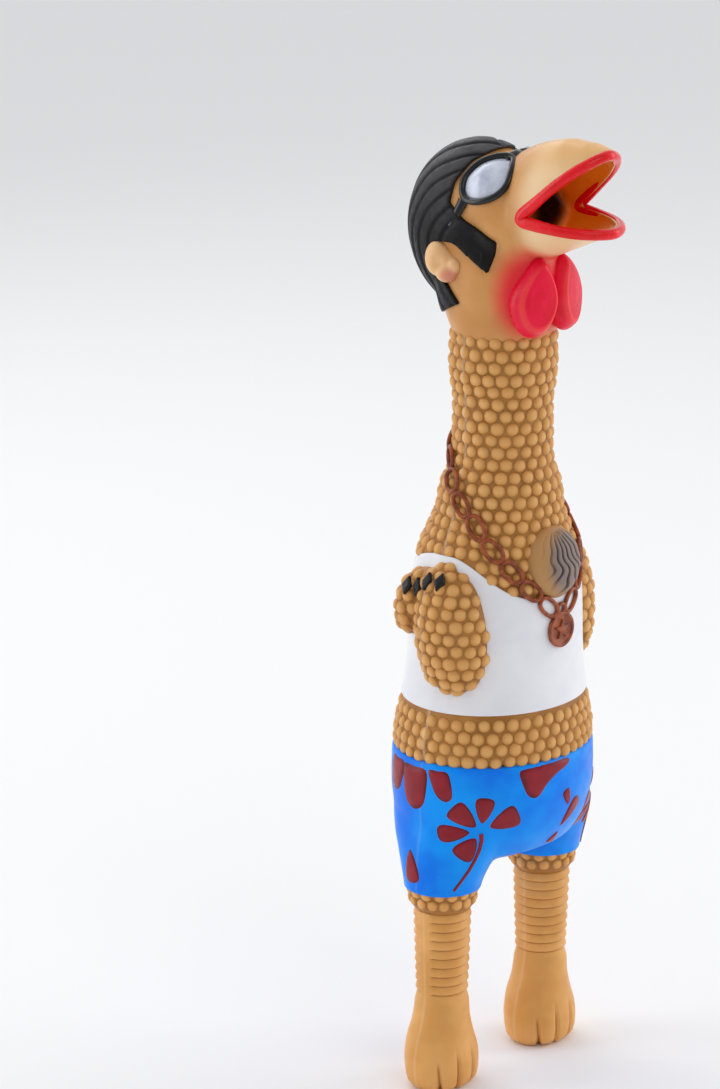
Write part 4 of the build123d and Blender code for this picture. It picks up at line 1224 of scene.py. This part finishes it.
def headForm(name, grow, voxel):
    # skull, cheeks and throat as one skin, larger all round by grow
    g = grow
    parts = [
        egg("skull", (0, 14.0, 260.4), (17.5 + g, 22.6 + g, 24.6 + g), 48, 32),
        egg("brow", (0, 2.5, 269.0), (16.2 + g, 15.0 + g, 14.4 + g), 48, 32),
        egg("cheeks", (0, -0.5, 263.5), (15.6 + g, 13.6 + g, 15.5 + g), 48, 32),
        ringBody("throat", curveThrough([
            (225.0, 0, 5.5, 13.6 + g, 13.6 + g), (229.0, 0, 5.5, 14.7 + g, 14.7 + g),
            (233.0, 0, 5.6, 16.0 + g, 16.2 + g), (237.5, 0, 6.0, 16.7 + g, 17.8 + g),
            (244.0, 0, 6.6, 17.1 + g, 19.4 + g), (252.0, 0, 8.0, 17.0 + g, 20.4 + g),
            (262.0, 0, 10.0, 16.0 + g, 19.5 + g)], 1.5), 64),
    ]
    form = joined(name, *parts)
    return fuse(form, voxel, 12)

def halfBeak(pitch, length, height, side, grow, back, slack):
    # sections set out along the beak, cut flat along the mouth
    wide = headPlan["beakWidth"] / 2
    rows = [(-back, 0, 0, wide + grow, height + grow)]
    for share, w, h in beakRows[side]:
        fit = grow * (0.35 + 0.65 * w)
        deep = h * height + (grow * (0.35 + 0.65 * h) if grow < 0 else grow)
        rows.append((share * (length + grow), 0, 0, max(0.4, w * wide + fit), max(0.4, deep)))
    form = ringBody("beak", curveThrough(rows, 1.0), 64)
    pick(form)
    bpy.ops.object.mode_set(mode="EDIT")
    bpy.ops.mesh.select_all(action="SELECT")
    bpy.ops.mesh.bisect(plane_co=(0, -side * slack * mm, 0), plane_no=(0, side, 0), use_fill=True,
                        clear_inner=True)
    bpy.ops.object.mode_set(mode="OBJECT")
    form.data.transform(mouthFrame(pitch))
    return form

def beaks(grow, back, slack):
    plan = headPlan
    return [halfBeak(plan["upperPitch"], plan["upperLength"], plan["upperHeight"], 1, grow, back, slack),
            halfBeak(plan["lowerPitch"], plan["lowerLength"], plan["lowerHeight"], -1, grow, back, slack)]

def makeHeadSolid():
    form = headForm("headSkin", 0, 0.8)
    y, z = mouthCorner.y, mouthCorner.z
    up = mouthFrame(headPlan["upperPitch"]).to_3x3() @ Vector((0, 1, 0))
    down = mouthFrame(headPlan["lowerPitch"]).to_3x3() @ Vector((0, -1, 0))
    chin = headPlan["lowerHeight"] + 0.4
    wedge = prism("wedge", [(y, z), (y + up.y * 60, z + up.z * 60), (y - 60, z + 60), (y - 60, z - chin),
                            (y + down.y * chin, z - chin)], 40)
    carve(form, wedge)
    head = joined("headSkin", form, *beaks(0, 5.0, 0))
    fuse(head, headPlan["voxel"], 16)

    # the hollow of the mouth: both palates and the throat behind them
    gullet = ringBody("gullet", curveThrough([
        (-2.0, 0, 0, 11.6, 9.0), (3.0, 0, 0, 11.0, 8.0), (9.0, 0, 0.6, 8.5, 6.4), (16.0, 0, 1.2, 5.0, 4.4),
        (20.0, 0, 1.4, 1.5, 1.5)], 1.0), 48)
    backwards = Matrix(((1, 0, 0), (0, 0, 1), (0, -1, 0))).to_4x4()
    gullet.data.transform(Matrix.Translation(mouthCorner * mm) @ backwards)
    cavity = joined("cavity", gullet, *beaks(-headPlan["wall"], 3.0, 0.9))
    fuse(cavity, 0.6, 6)
    hollow = treeOf(cavity)
    carve(head, cavity)
    outwards(head)
    return head, hollow

head, hollow = makeHeadSolid()
print("head form", len(head.data.polygons))

def divideHead():
    mesh = head.data
    inside = []
    for face in mesh.polygons:
        near = hollow.find_nearest(face.center)
        inside.append(near[3] < 0.00004)
    normals = {tuple(round(c, 7) for c in v.co): v.normal.copy() for v in mesh.vertices}
    groups = {"mouthLining": [], "jawSkin": [], "headSkin": []}
    for face in mesh.polygons:
        c = face.center / mm
        if inside[face.index]:
            groups["mouthLining"].append(face.index)
        elif c.y < headPlan["jawLine"] and (c - mouthCorner).dot(aboveMouth) < 0 and c.z > 252.5:
            groups["jawSkin"].append(face.index)
    made = {}
    for name in ("mouthLining", "jawSkin"):
        part = head.copy()
        part.data = head.data.copy()
        bpy.context.collection.objects.link(part)
        keep = set(groups[name])
        made[name] = trimFaces(part, lambda index: index in keep, name)
    gone = set(groups["mouthLining"] + groups["jawSkin"])
    made["headSkin"] = trimFaces(head, lambda index: index not in gone, "headSkin")
    for part in made.values():
        smoothShade(part)
        shading = []
        for vertex in part.data.vertices:
            shading.append(normals.get(tuple(round(c, 7) for c in vertex.co), vertex.normal))
        part.data.normals_split_custom_set_from_vertices(shading)
    return made

def trimFaces(obj, wanted, name):
    mesh = bmesh.new()
    mesh.from_mesh(obj.data)
    mesh.faces.ensure_lookup_table()
    gone = [f for f in mesh.faces if not wanted(f.index)]
    bmesh.ops.delete(mesh, geom=gone, context="FACES")
    mesh.to_mesh(obj.data)
    mesh.free()
    obj.name = name
    obj.data.name = name
    return obj

headParts = divideHead()
skinTree = treeOf(headParts["headSkin"])
print("head divided")

def faceFinish():
    mat, tree, shader = newFinish("faceLatex", (0.60, 0.32, 0.13), 0.36, 0.10, 0.15)
    place = objectPlace(tree)
    at = axes(tree, place)
    drift = grain(tree, place, 70.0, 2.0)
    tone = ramp(tree, drift, [(0.3, (0.58, 0.265, 0.075)), (0.7, (0.68, 0.34, 0.112))])
    # the beak fades to cream towards its tip, and its ridge stays warmer
    forward = spread(tree, at["Y"], -0.007, -0.017, 0.0, 1.0)
    forward = sums(tree, "MULTIPLY", forward, spread(tree, at["Z"], 0.2505, 0.2545))
    cream = blendColours(tree, spread(tree, at["Z"], 0.279, 0.290), (0.87, 0.61, 0.34), (0.80, 0.45, 0.16))
    tone = blendColours(tree, forward, tone, cream)
    # red sprayed over the throat round the wattles
    for side in (-1, 1):
        blush = nearPoint(tree, place, (side * 6.5, -9.5, 244.5), (13.0, 11.0, 15.5), 0.50, 1.15)
        tone = blendColours(tree, sums(tree, "MULTIPLY", blush, 0.94), tone, (0.82, 0.008, 0.032))
    fleck = spread(tree, grain(tree, place, 1900.0, 2.0), 0.62, 0.8, 0.0, 0.10)
    tone = blendColours(tree, fleck, tone, (0.40, 0.22, 0.10))
    link(tree, tone, shader.inputs["Base Color"])
    roughen(tree, shader, grain(tree, place, 400.0), 0.30, 0.44)
    bumps(tree, shader, grain(tree, place, 1100.0, 4.0), 0.07)
    return mat

def mouthFinish():
    mat, tree, shader = newFinish("mouthPaint", (0.9, 0.14, 0.01), 0.42, 0.0, 0.25)
    place = objectPlace(tree)
    at = axes(tree, place)
    pale = spread(tree, at["Y"], -0.021, -0.036)
    tone = blendColours(tree, pale, (0.98, 0.30, 0.012), (0.98, 0.55, 0.22))
    floorPale = sums(tree, "MULTIPLY", spread(tree, at["Z"], 0.265, 0.257),
                     spread(tree, at["Y"], -0.016, -0.024))
    tone = blendColours(tree, floorPale, tone, (0.95, 0.58, 0.30))
    patchy = spread(tree, grain(tree, place, 160.0, 3.0), 0.4, 0.65, 0.0, 0.35)
    tone = blendColours(tree, patchy, tone, (0.98, 0.38, 0.03))
    # painted shade: the mouth is painted nearly black deep inside, towards the throat
    deep = nearPoint(tree, place, (0, -5.5, 267.5), (12.5, 8.2, 9.0), 0.78, 1.12)
    link(tree, blendColours(tree, deep, tone, (0.012, 0.001, 0.001)), shader.inputs["Base Color"])
    roughen(tree, shader, grain(tree, place, 400.0), 0.26, 0.42)
    bumps(tree, shader, grain(tree, place, 900.0, 3.0), 0.10)
    return mat

def foldWithNeck(obj):
    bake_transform(obj)

def foldWithMouth(obj):
    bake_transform(obj)

def finishHead():
    face = faceFinish()
    for name in ("headSkin", "jawSkin"):
        headParts[name].data.materials.clear()
        headParts[name].data.materials.append(face)
    headParts["mouthLining"].data.materials.clear()
    headParts["mouthLining"].data.materials.append(mouthFinish())
    foldWithNeck(headParts["headSkin"])
    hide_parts("head_shell", "upper_beak")
    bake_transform(headParts["jawSkin"])
    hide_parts("lower_beak")
    foldWithMouth(headParts["mouthLining"])
    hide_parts("mouth_lining")

finishHead()
print("head skins")


# lips

lipPlan = {"rise": 1.05, "high": 1.6, "thick": 1.45, "points": 220}

def lipPath():
    plan = headPlan
    chosen = []
    corner = mouthCorner + (aboveMouth.cross(Vector((1, 0, 0)))).normalized() * -0.2
    wide = plan["beakWidth"] / 2 - 1.0

    def half(pitch, length, side, backwards):
        frameHere = mouthFrame(pitch)
        away = (frameHere.to_3x3() @ Vector((0, side, 0))).normalized()
        outline = [(0.10, 0.99), (0.33, 0.96), (0.52, 0.90), (0.68, 0.79), (0.80, 0.64), (0.90, 0.44),
                   (0.965, 0.22), (0.995, 0.0)]
        full = [(s, -w) for s, w in outline] + [(s, w) for s, w in outline[-2::-1]]
        if backwards:
            full = full[::-1]
        spots = []
        for share, w in full:
            local = Vector((w * wide * mm, 0, share * (length - 0.6) * mm))
            spots.append((frameHere @ local / mm, away))
        return spots

    upper = half(plan["upperPitch"], plan["upperLength"], 1, False)
    lower = half(plan["lowerPitch"], plan["lowerLength"], -1, True)
    back = Vector((0, math.cos(midPitch), -math.sin(midPitch)))
    chosen = upper + [(corner + Vector((wide, 0, 0)), back)] + lower + [(corner - Vector((wide, 0, 0)), back)]
    count = len(chosen)
    points = []
    for k in range(lipPlan["points"]):
        t = k / lipPlan["points"] * count
        i, f = int(t), t - int(t)
        four = [chosen[(i + d) % count] for d in (-1, 0, 1, 2)]
        weights = (0.5 * (-f + 2 * f * f - f ** 3), 0.5 * (2 - 5 * f * f + 3 * f ** 3),
                   0.5 * (f + 4 * f * f - 3 * f ** 3), 0.5 * (-f * f + f ** 3))
        place = sum((p * w for (p, _), w in zip(four, weights)), Vector())
        away = sum((a * max(w, 0.0) for (_, a), w in zip(four, weights)), Vector()).normalized()
        points.append((place, away))
    return points

def makeLips():
    points = lipPath()
    count = len(points)
    clearPick()
    bpy.ops.mesh.primitive_torus_add(major_segments=count, minor_segments=16, major_radius=1, minor_radius=0.25)
    lips = named("lips")
    for vertex in lips.data.vertices:
        k = round(math.atan2(vertex.co.y, vertex.co.x) / (2 * math.pi) * count) % count
        ring = (math.hypot(vertex.co.x, vertex.co.y) - 1) / 0.25
        height = vertex.co.z / 0.25
        place, away = points[k]
        ahead = (points[(k + 1) % count][0] - points[k - 1][0]).normalized()
        out = ahead.cross(away).normalized()
        if out.dot(place - mouthCorner - Vector((0, -10, 4))) < 0:
            out = -out
        near = 1 - blurredStep((place - mouthCorner).yz.length, 1, 12)
        high = lipPlan["high"] + 0.35 * near
        vertex.co = (place + away * (lipPlan["rise"] + height * high) + out * ring * lipPlan["thick"]) * mm
    outwards(lips)
    smoothShade(lips)
    mat, tree, shader = newFinish("lipPaint", (0.62, 0.006, 0.014), 0.24, 0.25, 0.03)
    place = objectPlace(tree)
    patchy = spread(tree, grain(tree, place, 130.0, 3.0), 0.35, 0.65)
    tone = blendColours(tree, patchy, (0.72, 0.002, 0.005), (0.84, 0.006, 0.016))
    link(tree, tone, shader.inputs["Base Color"])
    roughen(tree, shader, grain(tree, place, 350.0), 0.16, 0.30)
    bumps(tree, shader, grain(tree, place, 500.0, 3.0), 0.12)
    lips.data.materials.append(mat)
    foldWithMouth(lips)
    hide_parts("upper_lip", "lower_lip")

makeLips()
print("lips")


# hair

hairPlan = {"relief": 1.2, "inner": -1.0, "voxel": 0.42, "spacing": 4.5, "groove": 0.5, "grooveWidth": 0.55,
            "hub": (16.0, 3.0, 254.5)}
hairline = [(2.0, 21.0), (5.5, 17.0), (9.8, 13.5), (12.4, 7.5), (12.4, 2.0), (7.0, -2.4), (-3.7, -7.8),
            (-1.3, -16.9), (10.0, -9.4), (16.0, -9.4), (19.0, -17.0), (13.0, -22.0), (8.0, -27.0),
            (22.0, -33.0)]

def makeHair():
    hair = headForm("hair", hairPlan["relief"], 0.7)
    outer = treeOf(hair)
    z = mouthCorner.z
    outline = [(y, z + rise) for y, rise in hairline] + [(60, z - 35.0), (60, z + 60), (2.0, z + 60)]
    carve(hair, prism("hairCut", outline, 40), "INTERSECT")
    carve(hair, headForm("scalp", hairPlan["inner"], 0.9))
    fuse(hair, hairPlan["voxel"], 3)
    relief = hair.data.attributes.new("relief", "FLOAT", "POINT")
    normals = [v.normal.copy() for v in hair.data.vertices]
    hub = Vector(hairPlan["hub"])
    for vertex, out in zip(hair.data.vertices, normals):
        c = vertex.co / mm
        _, away, _, gap = outer.find_nearest(vertex.co)
        facing = out.dot(away)
        if gap > 0.0006 or facing < 0.5:
            relief.data[vertex.index].value = 0.6
            continue
        # strands run as arcs round the temples, meeting along the top
        reach = Vector((abs(c.x) - hub.x, c.y - hub.y, c.z - hub.z)).length
        reach += 0.16 * math.sin(0.5 * c.y) + 0.12 * math.sin(0.4 * c.z + 1.0)
        phase = (reach / hairPlan["spacing"] + 0.35) % 1.0
        across = min(phase, 1 - phase) * hairPlan["spacing"]
        dip = math.exp(-(across / hairPlan["grooveWidth"]) ** 2) * blurredStep(reach, 8.0, 10.5)
        lift = 0.16 * (1 - phase)
        vertex.co += out * (lift - dip * hairPlan["groove"]) * facing * mm
        relief.data[vertex.index].value = 1 - dip
    smoothShade(hair)
    mat, tree, shader = newFinish("hairPaint", (0.012, 0.011, 0.014), 0.46, 0.0, 0.0)
    place = objectPlace(tree)
    at = axes(tree, place)
    # painted highlight: the hair is painted lighter towards its top and nearly black lower down
    paintedTopLight = spread(tree, at["Z"], 0.258, 0.286)
    body = blendColours(tree, paintedTopLight, (0.001, 0.0008, 0.0015), (0.060, 0.057, 0.064))
    patchy = spread(tree, grain(tree, place, 260.0, 3.0), 0.4, 0.66, 0.0, 0.6)
    body = blendColours(tree, sums(tree, "MULTIPLY", patchy, paintedTopLight), body, (0.020, 0.018, 0.022))
    # painted shade in the strand grooves
    paintedShade = spread(tree, attribute(tree, "relief"), 0.2, 0.95, 0.92, 0.0)
    link(tree, blendColours(tree, paintedShade, body, (0.002, 0.002, 0.003)), shader.inputs["Base Color"])
    roughen(tree, shader, grain(tree, place, 500.0), 0.40, 0.56)
    bumps(tree, shader, grain(tree, place, 1300.0, 4.0), 0.15)
    hair.data.materials.clear()
    hair.data.materials.append(mat)
    foldWithNeck(hair)
    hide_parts("hair")

makeHair()
print("hair")


# sunglasses

glassPlan = {"centre": (-13.4, 1.6, 278.3), "outward": (-0.70, -0.34, 0.62), "along": (0.34, -0.93, -0.13),
             "rimWide": 1.0, "rimHigh": 1.0}
lensReach = [(14, 6.8), (38, 7.6), (60, 8.9), (78, 7.6), (95, 6.6), (125, 5.8), (157, 5.7), (190, 6.6), (228, 7.6),
             (255, 7.2), (281, 6.8), (320, 6.7), (350, 6.7)]

def lensRadius(turn):
    degrees = math.degrees(turn) % 360
    stops = [(a - 360, r) for a, r in lensReach[-2:]] + lensReach + [(a + 360, r) for a, r in lensReach[:3]]
    for i in range(1, len(stops) - 2):
        (a0, r0), (a1, r1), (a2, r2), (a3, r3) = stops[i - 1:i + 3]
        if a1 <= degrees <= a2:
            t = (degrees - a1) / (a2 - a1)
            m1, m2 = (r2 - r0) / (a2 - a0) * (a2 - a1), (r3 - r1) / (a3 - a1) * (a2 - a1)
            return ((2 * t ** 3 - 3 * t * t + 1) * r1 + (t ** 3 - 2 * t * t + t) * m1
                    + (3 * t * t - 2 * t ** 3) * r2 + (t ** 3 - t * t) * m2)
    return 6.7

lensOut = Vector(glassPlan["outward"]).normalized()
lensAlong = Vector(glassPlan["along"])
lensAlong = (lensAlong - lensOut * lensAlong.dot(lensOut)).normalized()
lensUp = lensOut.cross(lensAlong)

def onFace(u, v, lift):
    # a point of the right lens's plane pressed back onto the face
    start = Vector(glassPlan["centre"]) + lensAlong * u + lensUp * v + lensOut * 15
    hit, away, _, _ = skinTree.ray_cast(start * mm, -lensOut)
    if hit is None:
        hit, away, _, _ = skinTree.find_nearest((start - lensOut * 15) * mm)
    return hit / mm + lensOut * lift, away

def pressedBar(name, path, wide, high):
    # a bar laid along the face; path gives lens-plane places, wide and high its half sizes
    spots = [onFace(u, v, 0.55) for u, v in path]
    points = [p for p, _ in spots]
    bar = ringBody(name, [(k, 0, 0, 1, 1) for k in range(len(path))], 16)
    for vertex in bar.data.vertices:
        k = min(len(path) - 1, max(0, round(vertex.co.z / mm)))
        turn = math.atan2(vertex.co.y, vertex.co.x)
        ahead = (points[min(k + 1, len(path) - 1)] - points[max(k - 1, 0)]).normalized()
        side = lensOut.cross(ahead).normalized()
        if math.hypot(vertex.co.x, vertex.co.y) < 0.5 * mm:
            vertex.co = points[k] * mm
        else:
            vertex.co = (points[k] + side * math.cos(turn) * wide[k] + lensOut * math.sin(turn) * high) * mm
    return outwards(bar)

def mirrored(obj, name):
    twin = stamp(obj, Matrix.Diagonal((-1, 1, 1, 1)))
    twin.name = name
    twin.data.name = name
    return outwards(twin)

def makeGlasses():
    count = 96
    turns = [2 * math.pi * k / count for k in range(count)]
    ring = [(lensRadius(t) * math.cos(t), lensRadius(t) * math.sin(t)) for t in turns]
    heights = [(onFace(u, v, 0)[0] - Vector(glassPlan["centre"])).dot(lensOut) for u, v in ring]
    for _ in range(6):
        heights = [(heights[k - 1] + 2 * heights[k] + heights[(k + 1) % count]) / 4 for k in range(count)]
    clearPick()
    bpy.ops.mesh.primitive_torus_add(major_segments=count, minor_segments=14, major_radius=1, minor_radius=0.25)
    rim = named("rim")
    centre = Vector(glassPlan["centre"])
    for vertex in rim.data.vertices:
        k = round(math.atan2(vertex.co.y, vertex.co.x) / (2 * math.pi) * count) % count
        across = (math.hypot(vertex.co.x, vertex.co.y) - 1) / 0.25
        up = vertex.co.z / 0.25
        a, b = Vector(ring[k - 1]), Vector(ring[(k + 1) % count])
        out = Vector(((b - a).y, -(b - a).x)).normalized()
        spot = Vector(ring[k]) + out * (across + 0.6) * glassPlan["rimWide"]
        lift = heights[k] + 0.55 + up * glassPlan["rimHigh"]
        vertex.co = (centre + lensAlong * spot.x + lensUp * spot.y + lensOut * lift) * mm
    outwards(rim)
    # bridge over the beak's root, and the arm back to the hair
    bridge = pressedBar("bridge", [(3.4, 7.2), (4.2, 8.2), (4.9, 9.3), (5.6, 10.5), (6.1, 12.0)],
                        [1.7, 1.9, 1.8, 1.6, 1.5], 0.9)
    arm = pressedBar("arm", [(-5.7, -6.9), (-6.3, -8.6), (-6.9, -10.2), (-7.5, -12.0), (-8.1, -13.8)],
                     [1.7, 1.5, 1.45, 1.5, 1.6], 0.95)
    right = joined("glassesHalf", rim, bridge, arm)
    left = mirrored(right, "glassesLeft")
    frameBlack = joined("sunglassesFrame", right, left)
    smoothShade(frameBlack, 50)
    mat, tree, shader = newFinish("frameBlack", (0.005, 0.005, 0.006), 0.16, 0.5, 0.0)
    place = objectPlace(tree)
    wear = spread(tree, grain(tree, place, 800.0, 3.0), 0.62, 0.78, 0.0, 0.3)
    tone = blendColours(tree, wear, (0.004, 0.004, 0.005), (0.035, 0.032, 0.034))
    link(tree, tone, shader.inputs["Base Color"])
    roughen(tree, shader, grain(tree, place, 400.0), 0.12, 0.26)
    bumps(tree, shader, grain(tree, place, 700.0), 0.08)
    frameBlack.data.materials.clear()
    frameBlack.data.materials.append(mat)
    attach(frameBlack, "head")
    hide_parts("sunglasses_frame")

    rings = 10
    faceRise = max((onFace(u * share, v * share, 0)[0] - centre).dot(lensOut)
                   for u, v in ring[::8] for share in (0.0, 0.3, 0.6))
    pane = ringBody("lensRight", [(k, 0, 0, 1, 1) for k in range(rings + 1)], count)
    for vertex in pane.data.vertices:
        k = round(vertex.co.z / mm)
        turn = math.atan2(vertex.co.y, vertex.co.x)
        share = 1.0 if k < 1 else 1 - (k - 1) / rings
        index = round(turn / (2 * math.pi) * count) % count
        u, v = ring[index][0] * share, ring[index][1] * share
        rimLift = heights[index] + (-0.8 if k == 0 else 0.25)
        middleLift = max(sum(heights) / count + 1.9, faceRise + 1.0)
        lift = rimLift + (middleLift - rimLift) * (1 - share * share)
        vertex.co = (centre + lensAlong * u + lensUp * v + lensOut * lift) * mm
    outwards(pane)
    smoothShade(pane, 60)
    mat, tree, shader = newFinish("lensSilver", (0.45, 0.50, 0.60), 0.22, 0.3, 0.0)
    shader.inputs["Metallic"].default_value = 0.1
    place = objectPlace(tree)
    cloud = grain(tree, place, 160.0, 4.0, 0.6)
    tone = ramp(tree, cloud, [(0.3, (0.50, 0.54, 0.66)), (0.55, (0.62, 0.66, 0.77)),
                              (0.75, (0.78, 0.81, 0.89))])
    link(tree, tone, shader.inputs["Base Color"])
    roughen(tree, shader, cloud, 0.18, 0.36)
    bumps(tree, shader, grain(tree, place, 420.0, 3.0), 0.12)
    pane.data.materials.append(mat)
    twin = mirrored(pane, "lensLeft")
    smoothShade(twin, 60)
    for lens, node in ((pane, "lens_right"), (twin, "lens_left")):
        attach(lens, "head")
        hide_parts(node)

makeGlasses()
print("sunglasses")


# ears and wattles

earPlan = {"voxel": 0.45}

def makeEars():
    ear = joined("earRight", egg("flap", (-17.3, 16.0, 252.9), (3.5, 4.1, 5.3)),
                 egg("lobe", (-17.3, 12.8, 249.1), (3.0, 3.5, 3.0)),
                 egg("tragus", (-17.0, 10.2, 251.2), (2.0, 2.1, 2.5)),
                 egg("root", (-14.5, 13.6, 251.5), (4.0, 4.1, 4.7)))
    fuse(ear, earPlan["voxel"], 6)
    # a shallow shell behind the rim of the flap
    for vertex in ear.data.vertices:
        c = vertex.co / mm
        gap = math.hypot((c.y - 14.0) / 2.2, (c.z - 252.0) / 2.4)
        if c.x < -17 and gap < 1:
            vertex.co.x += 1.0 * (1 - gap * gap) ** 2 * mm
    smoothShade(ear)
    mat, tree, shader = newFinish("earLatex", (0.68, 0.40, 0.19), 0.34, 0.1, 0.18)
    place = objectPlace(tree)
    tone = ramp(tree, grain(tree, place, 120.0, 2.0), [(0.3, (0.78, 0.45, 0.20)), (0.7, (0.86, 0.54, 0.27))])
    for side in (-1, 1):
        pink = nearPoint(tree, place, (side * 18.0, 10.8, 248.6), (5.0, 3.4, 3.2), 0.3, 1.1)
        tone = blendColours(tree, sums(tree, "MULTIPLY", pink, 0.7), tone, (0.60, 0.15, 0.12))
    link(tree, tone, shader.inputs["Base Color"])
    roughen(tree, shader, grain(tree, place, 400.0), 0.30, 0.44)
    bumps(tree, shader, grain(tree, place, 1100.0, 4.0), 0.07)
    ear.data.materials.clear()
    ear.data.materials.append(mat)
    twin = mirrored(ear, "earLeft")
    smoothShade(twin)
    for piece, node in ((ear, "ear_right"), (twin, "ear_left")):
        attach(piece, "head")
        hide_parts(node)

wattlePlan = {"centre": (-6.6, -10.9, 243.4), "half": (7.6, 11.8, 5.2), "rim": 0.62, "dish": 0.9}

def makeWattles():
    half = wattlePlan["half"]
    lobe = egg("wattleRight", (0, 0, 0), (half[0], half[1], half[2]), 96, 64)
    relief = lobe.data.attributes.new("relief", "FLOAT", "POINT")
    for vertex in lobe.data.vertices:
        u, v, w = vertex.co.x / mm / half[0], vertex.co.y / mm / half[1], vertex.co.z / mm / half[2]
        r = math.hypot(u, v)
        narrow = 1 - 0.42 * blurredStep(v, -0.2, 1.0)
        if w > 0:
            # the rim stands up round a dished middle, open towards the top
            edge = math.exp(-((r - 0.80) / 0.11) ** 2) * (1 - 0.6 * blurredStep(v, 0.3, 0.9))
            vertex.co.z += (edge * wattlePlan["rim"] - wattlePlan["dish"] * math.exp(-(r / 0.55) ** 4)) * mm
            relief.data[vertex.index].value = edge
        vertex.co.x = (u * narrow * half[0] + 0.9 * blurredStep(v, -0.2, 1.0)) * mm
    out = Vector((-0.30, -0.93, 0.05))
    tilt = Matrix.Rotation(math.radians(-5), 4, "Z")
    lobe.data.transform(upright(wattlePlan["centre"], out, 0.0, (0.95, -0.3, 0)) @ tilt)
    smoothShade(lobe)
    mat, tree, shader = newFinish("wattlePaint", (0.64, 0.004, 0.03), 0.32, 0.08, 0.08, (1.0, 0.2, 0.2))
    place = objectPlace(tree)
    tone = ramp(tree, grain(tree, place, 110.0, 2.0), [(0.3, (0.72, 0.001, 0.022)),
                                                       (0.7, (0.84, 0.003, 0.045))])
    # painted highlight: the raised rim is painted paler red
    pale = spread(tree, attribute(tree, "relief"), 0.15, 0.95, 0.0, 0.75)
    link(tree, blendColours(tree, pale, tone, (0.90, 0.060, 0.060)), shader.inputs["Base Color"])
    roughen(tree, shader, grain(tree, place, 400.0), 0.26, 0.42)
    bumps(tree, shader, grain(tree, place, 900.0, 3.0), 0.08)
    lobe.data.materials.append(mat)
    twin = mirrored(lobe, "wattleLeft")
    smoothShade(twin)
    for piece, node in ((lobe, "wattle_right"), (twin, "wattle_left")):
        foldWithNeck(piece)
        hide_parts(node)

makeEars()
makeWattles()
print("ears and wattles")


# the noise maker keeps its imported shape

def finishSqueaker():
    plastic, tree, shader = newFinish("squeakerPlastic", (0.80, 0.80, 0.76), 0.35, 0.1)
    place = objectPlace(tree)
    tone = ramp(tree, grain(tree, place, 120.0, 3.0), [(0.3, (0.74, 0.74, 0.69)), (0.7, (0.83, 0.83, 0.79))])
    link(tree, tone, shader.inputs["Base Color"])
    roughen(tree, shader, grain(tree, place, 500.0), 0.28, 0.42)
    bumps(tree, shader, grain(tree, place, 900.0), 0.05)
    film, tree, shader = newFinish("reedFilm", (0.75, 0.78, 0.80), 0.2, 0.2)
    place = objectPlace(tree)
    brushed = grain(tree, place, 300.0, 2.0, 0.5, (1, 8, 1))
    tone = ramp(tree, brushed, [(0.3, (0.68, 0.71, 0.74)), (0.7, (0.78, 0.81, 0.83))])
    link(tree, tone, shader.inputs["Base Color"])
    roughen(tree, shader, brushed, 0.14, 0.28)
    bumps(tree, shader, brushed, 0.05)
    for node, mat in (("squeaker_housing", plastic), ("squeaker_cap", plastic), ("squeaker_grille", plastic),
                      ("reed_block", plastic), ("reed_clip", plastic), ("reed", film)):
        nodes[node].data.materials.clear()
        nodes[node].data.materials.append(mat)

finishSqueaker()
bpy.data.objects.remove(nub)

print("finished")
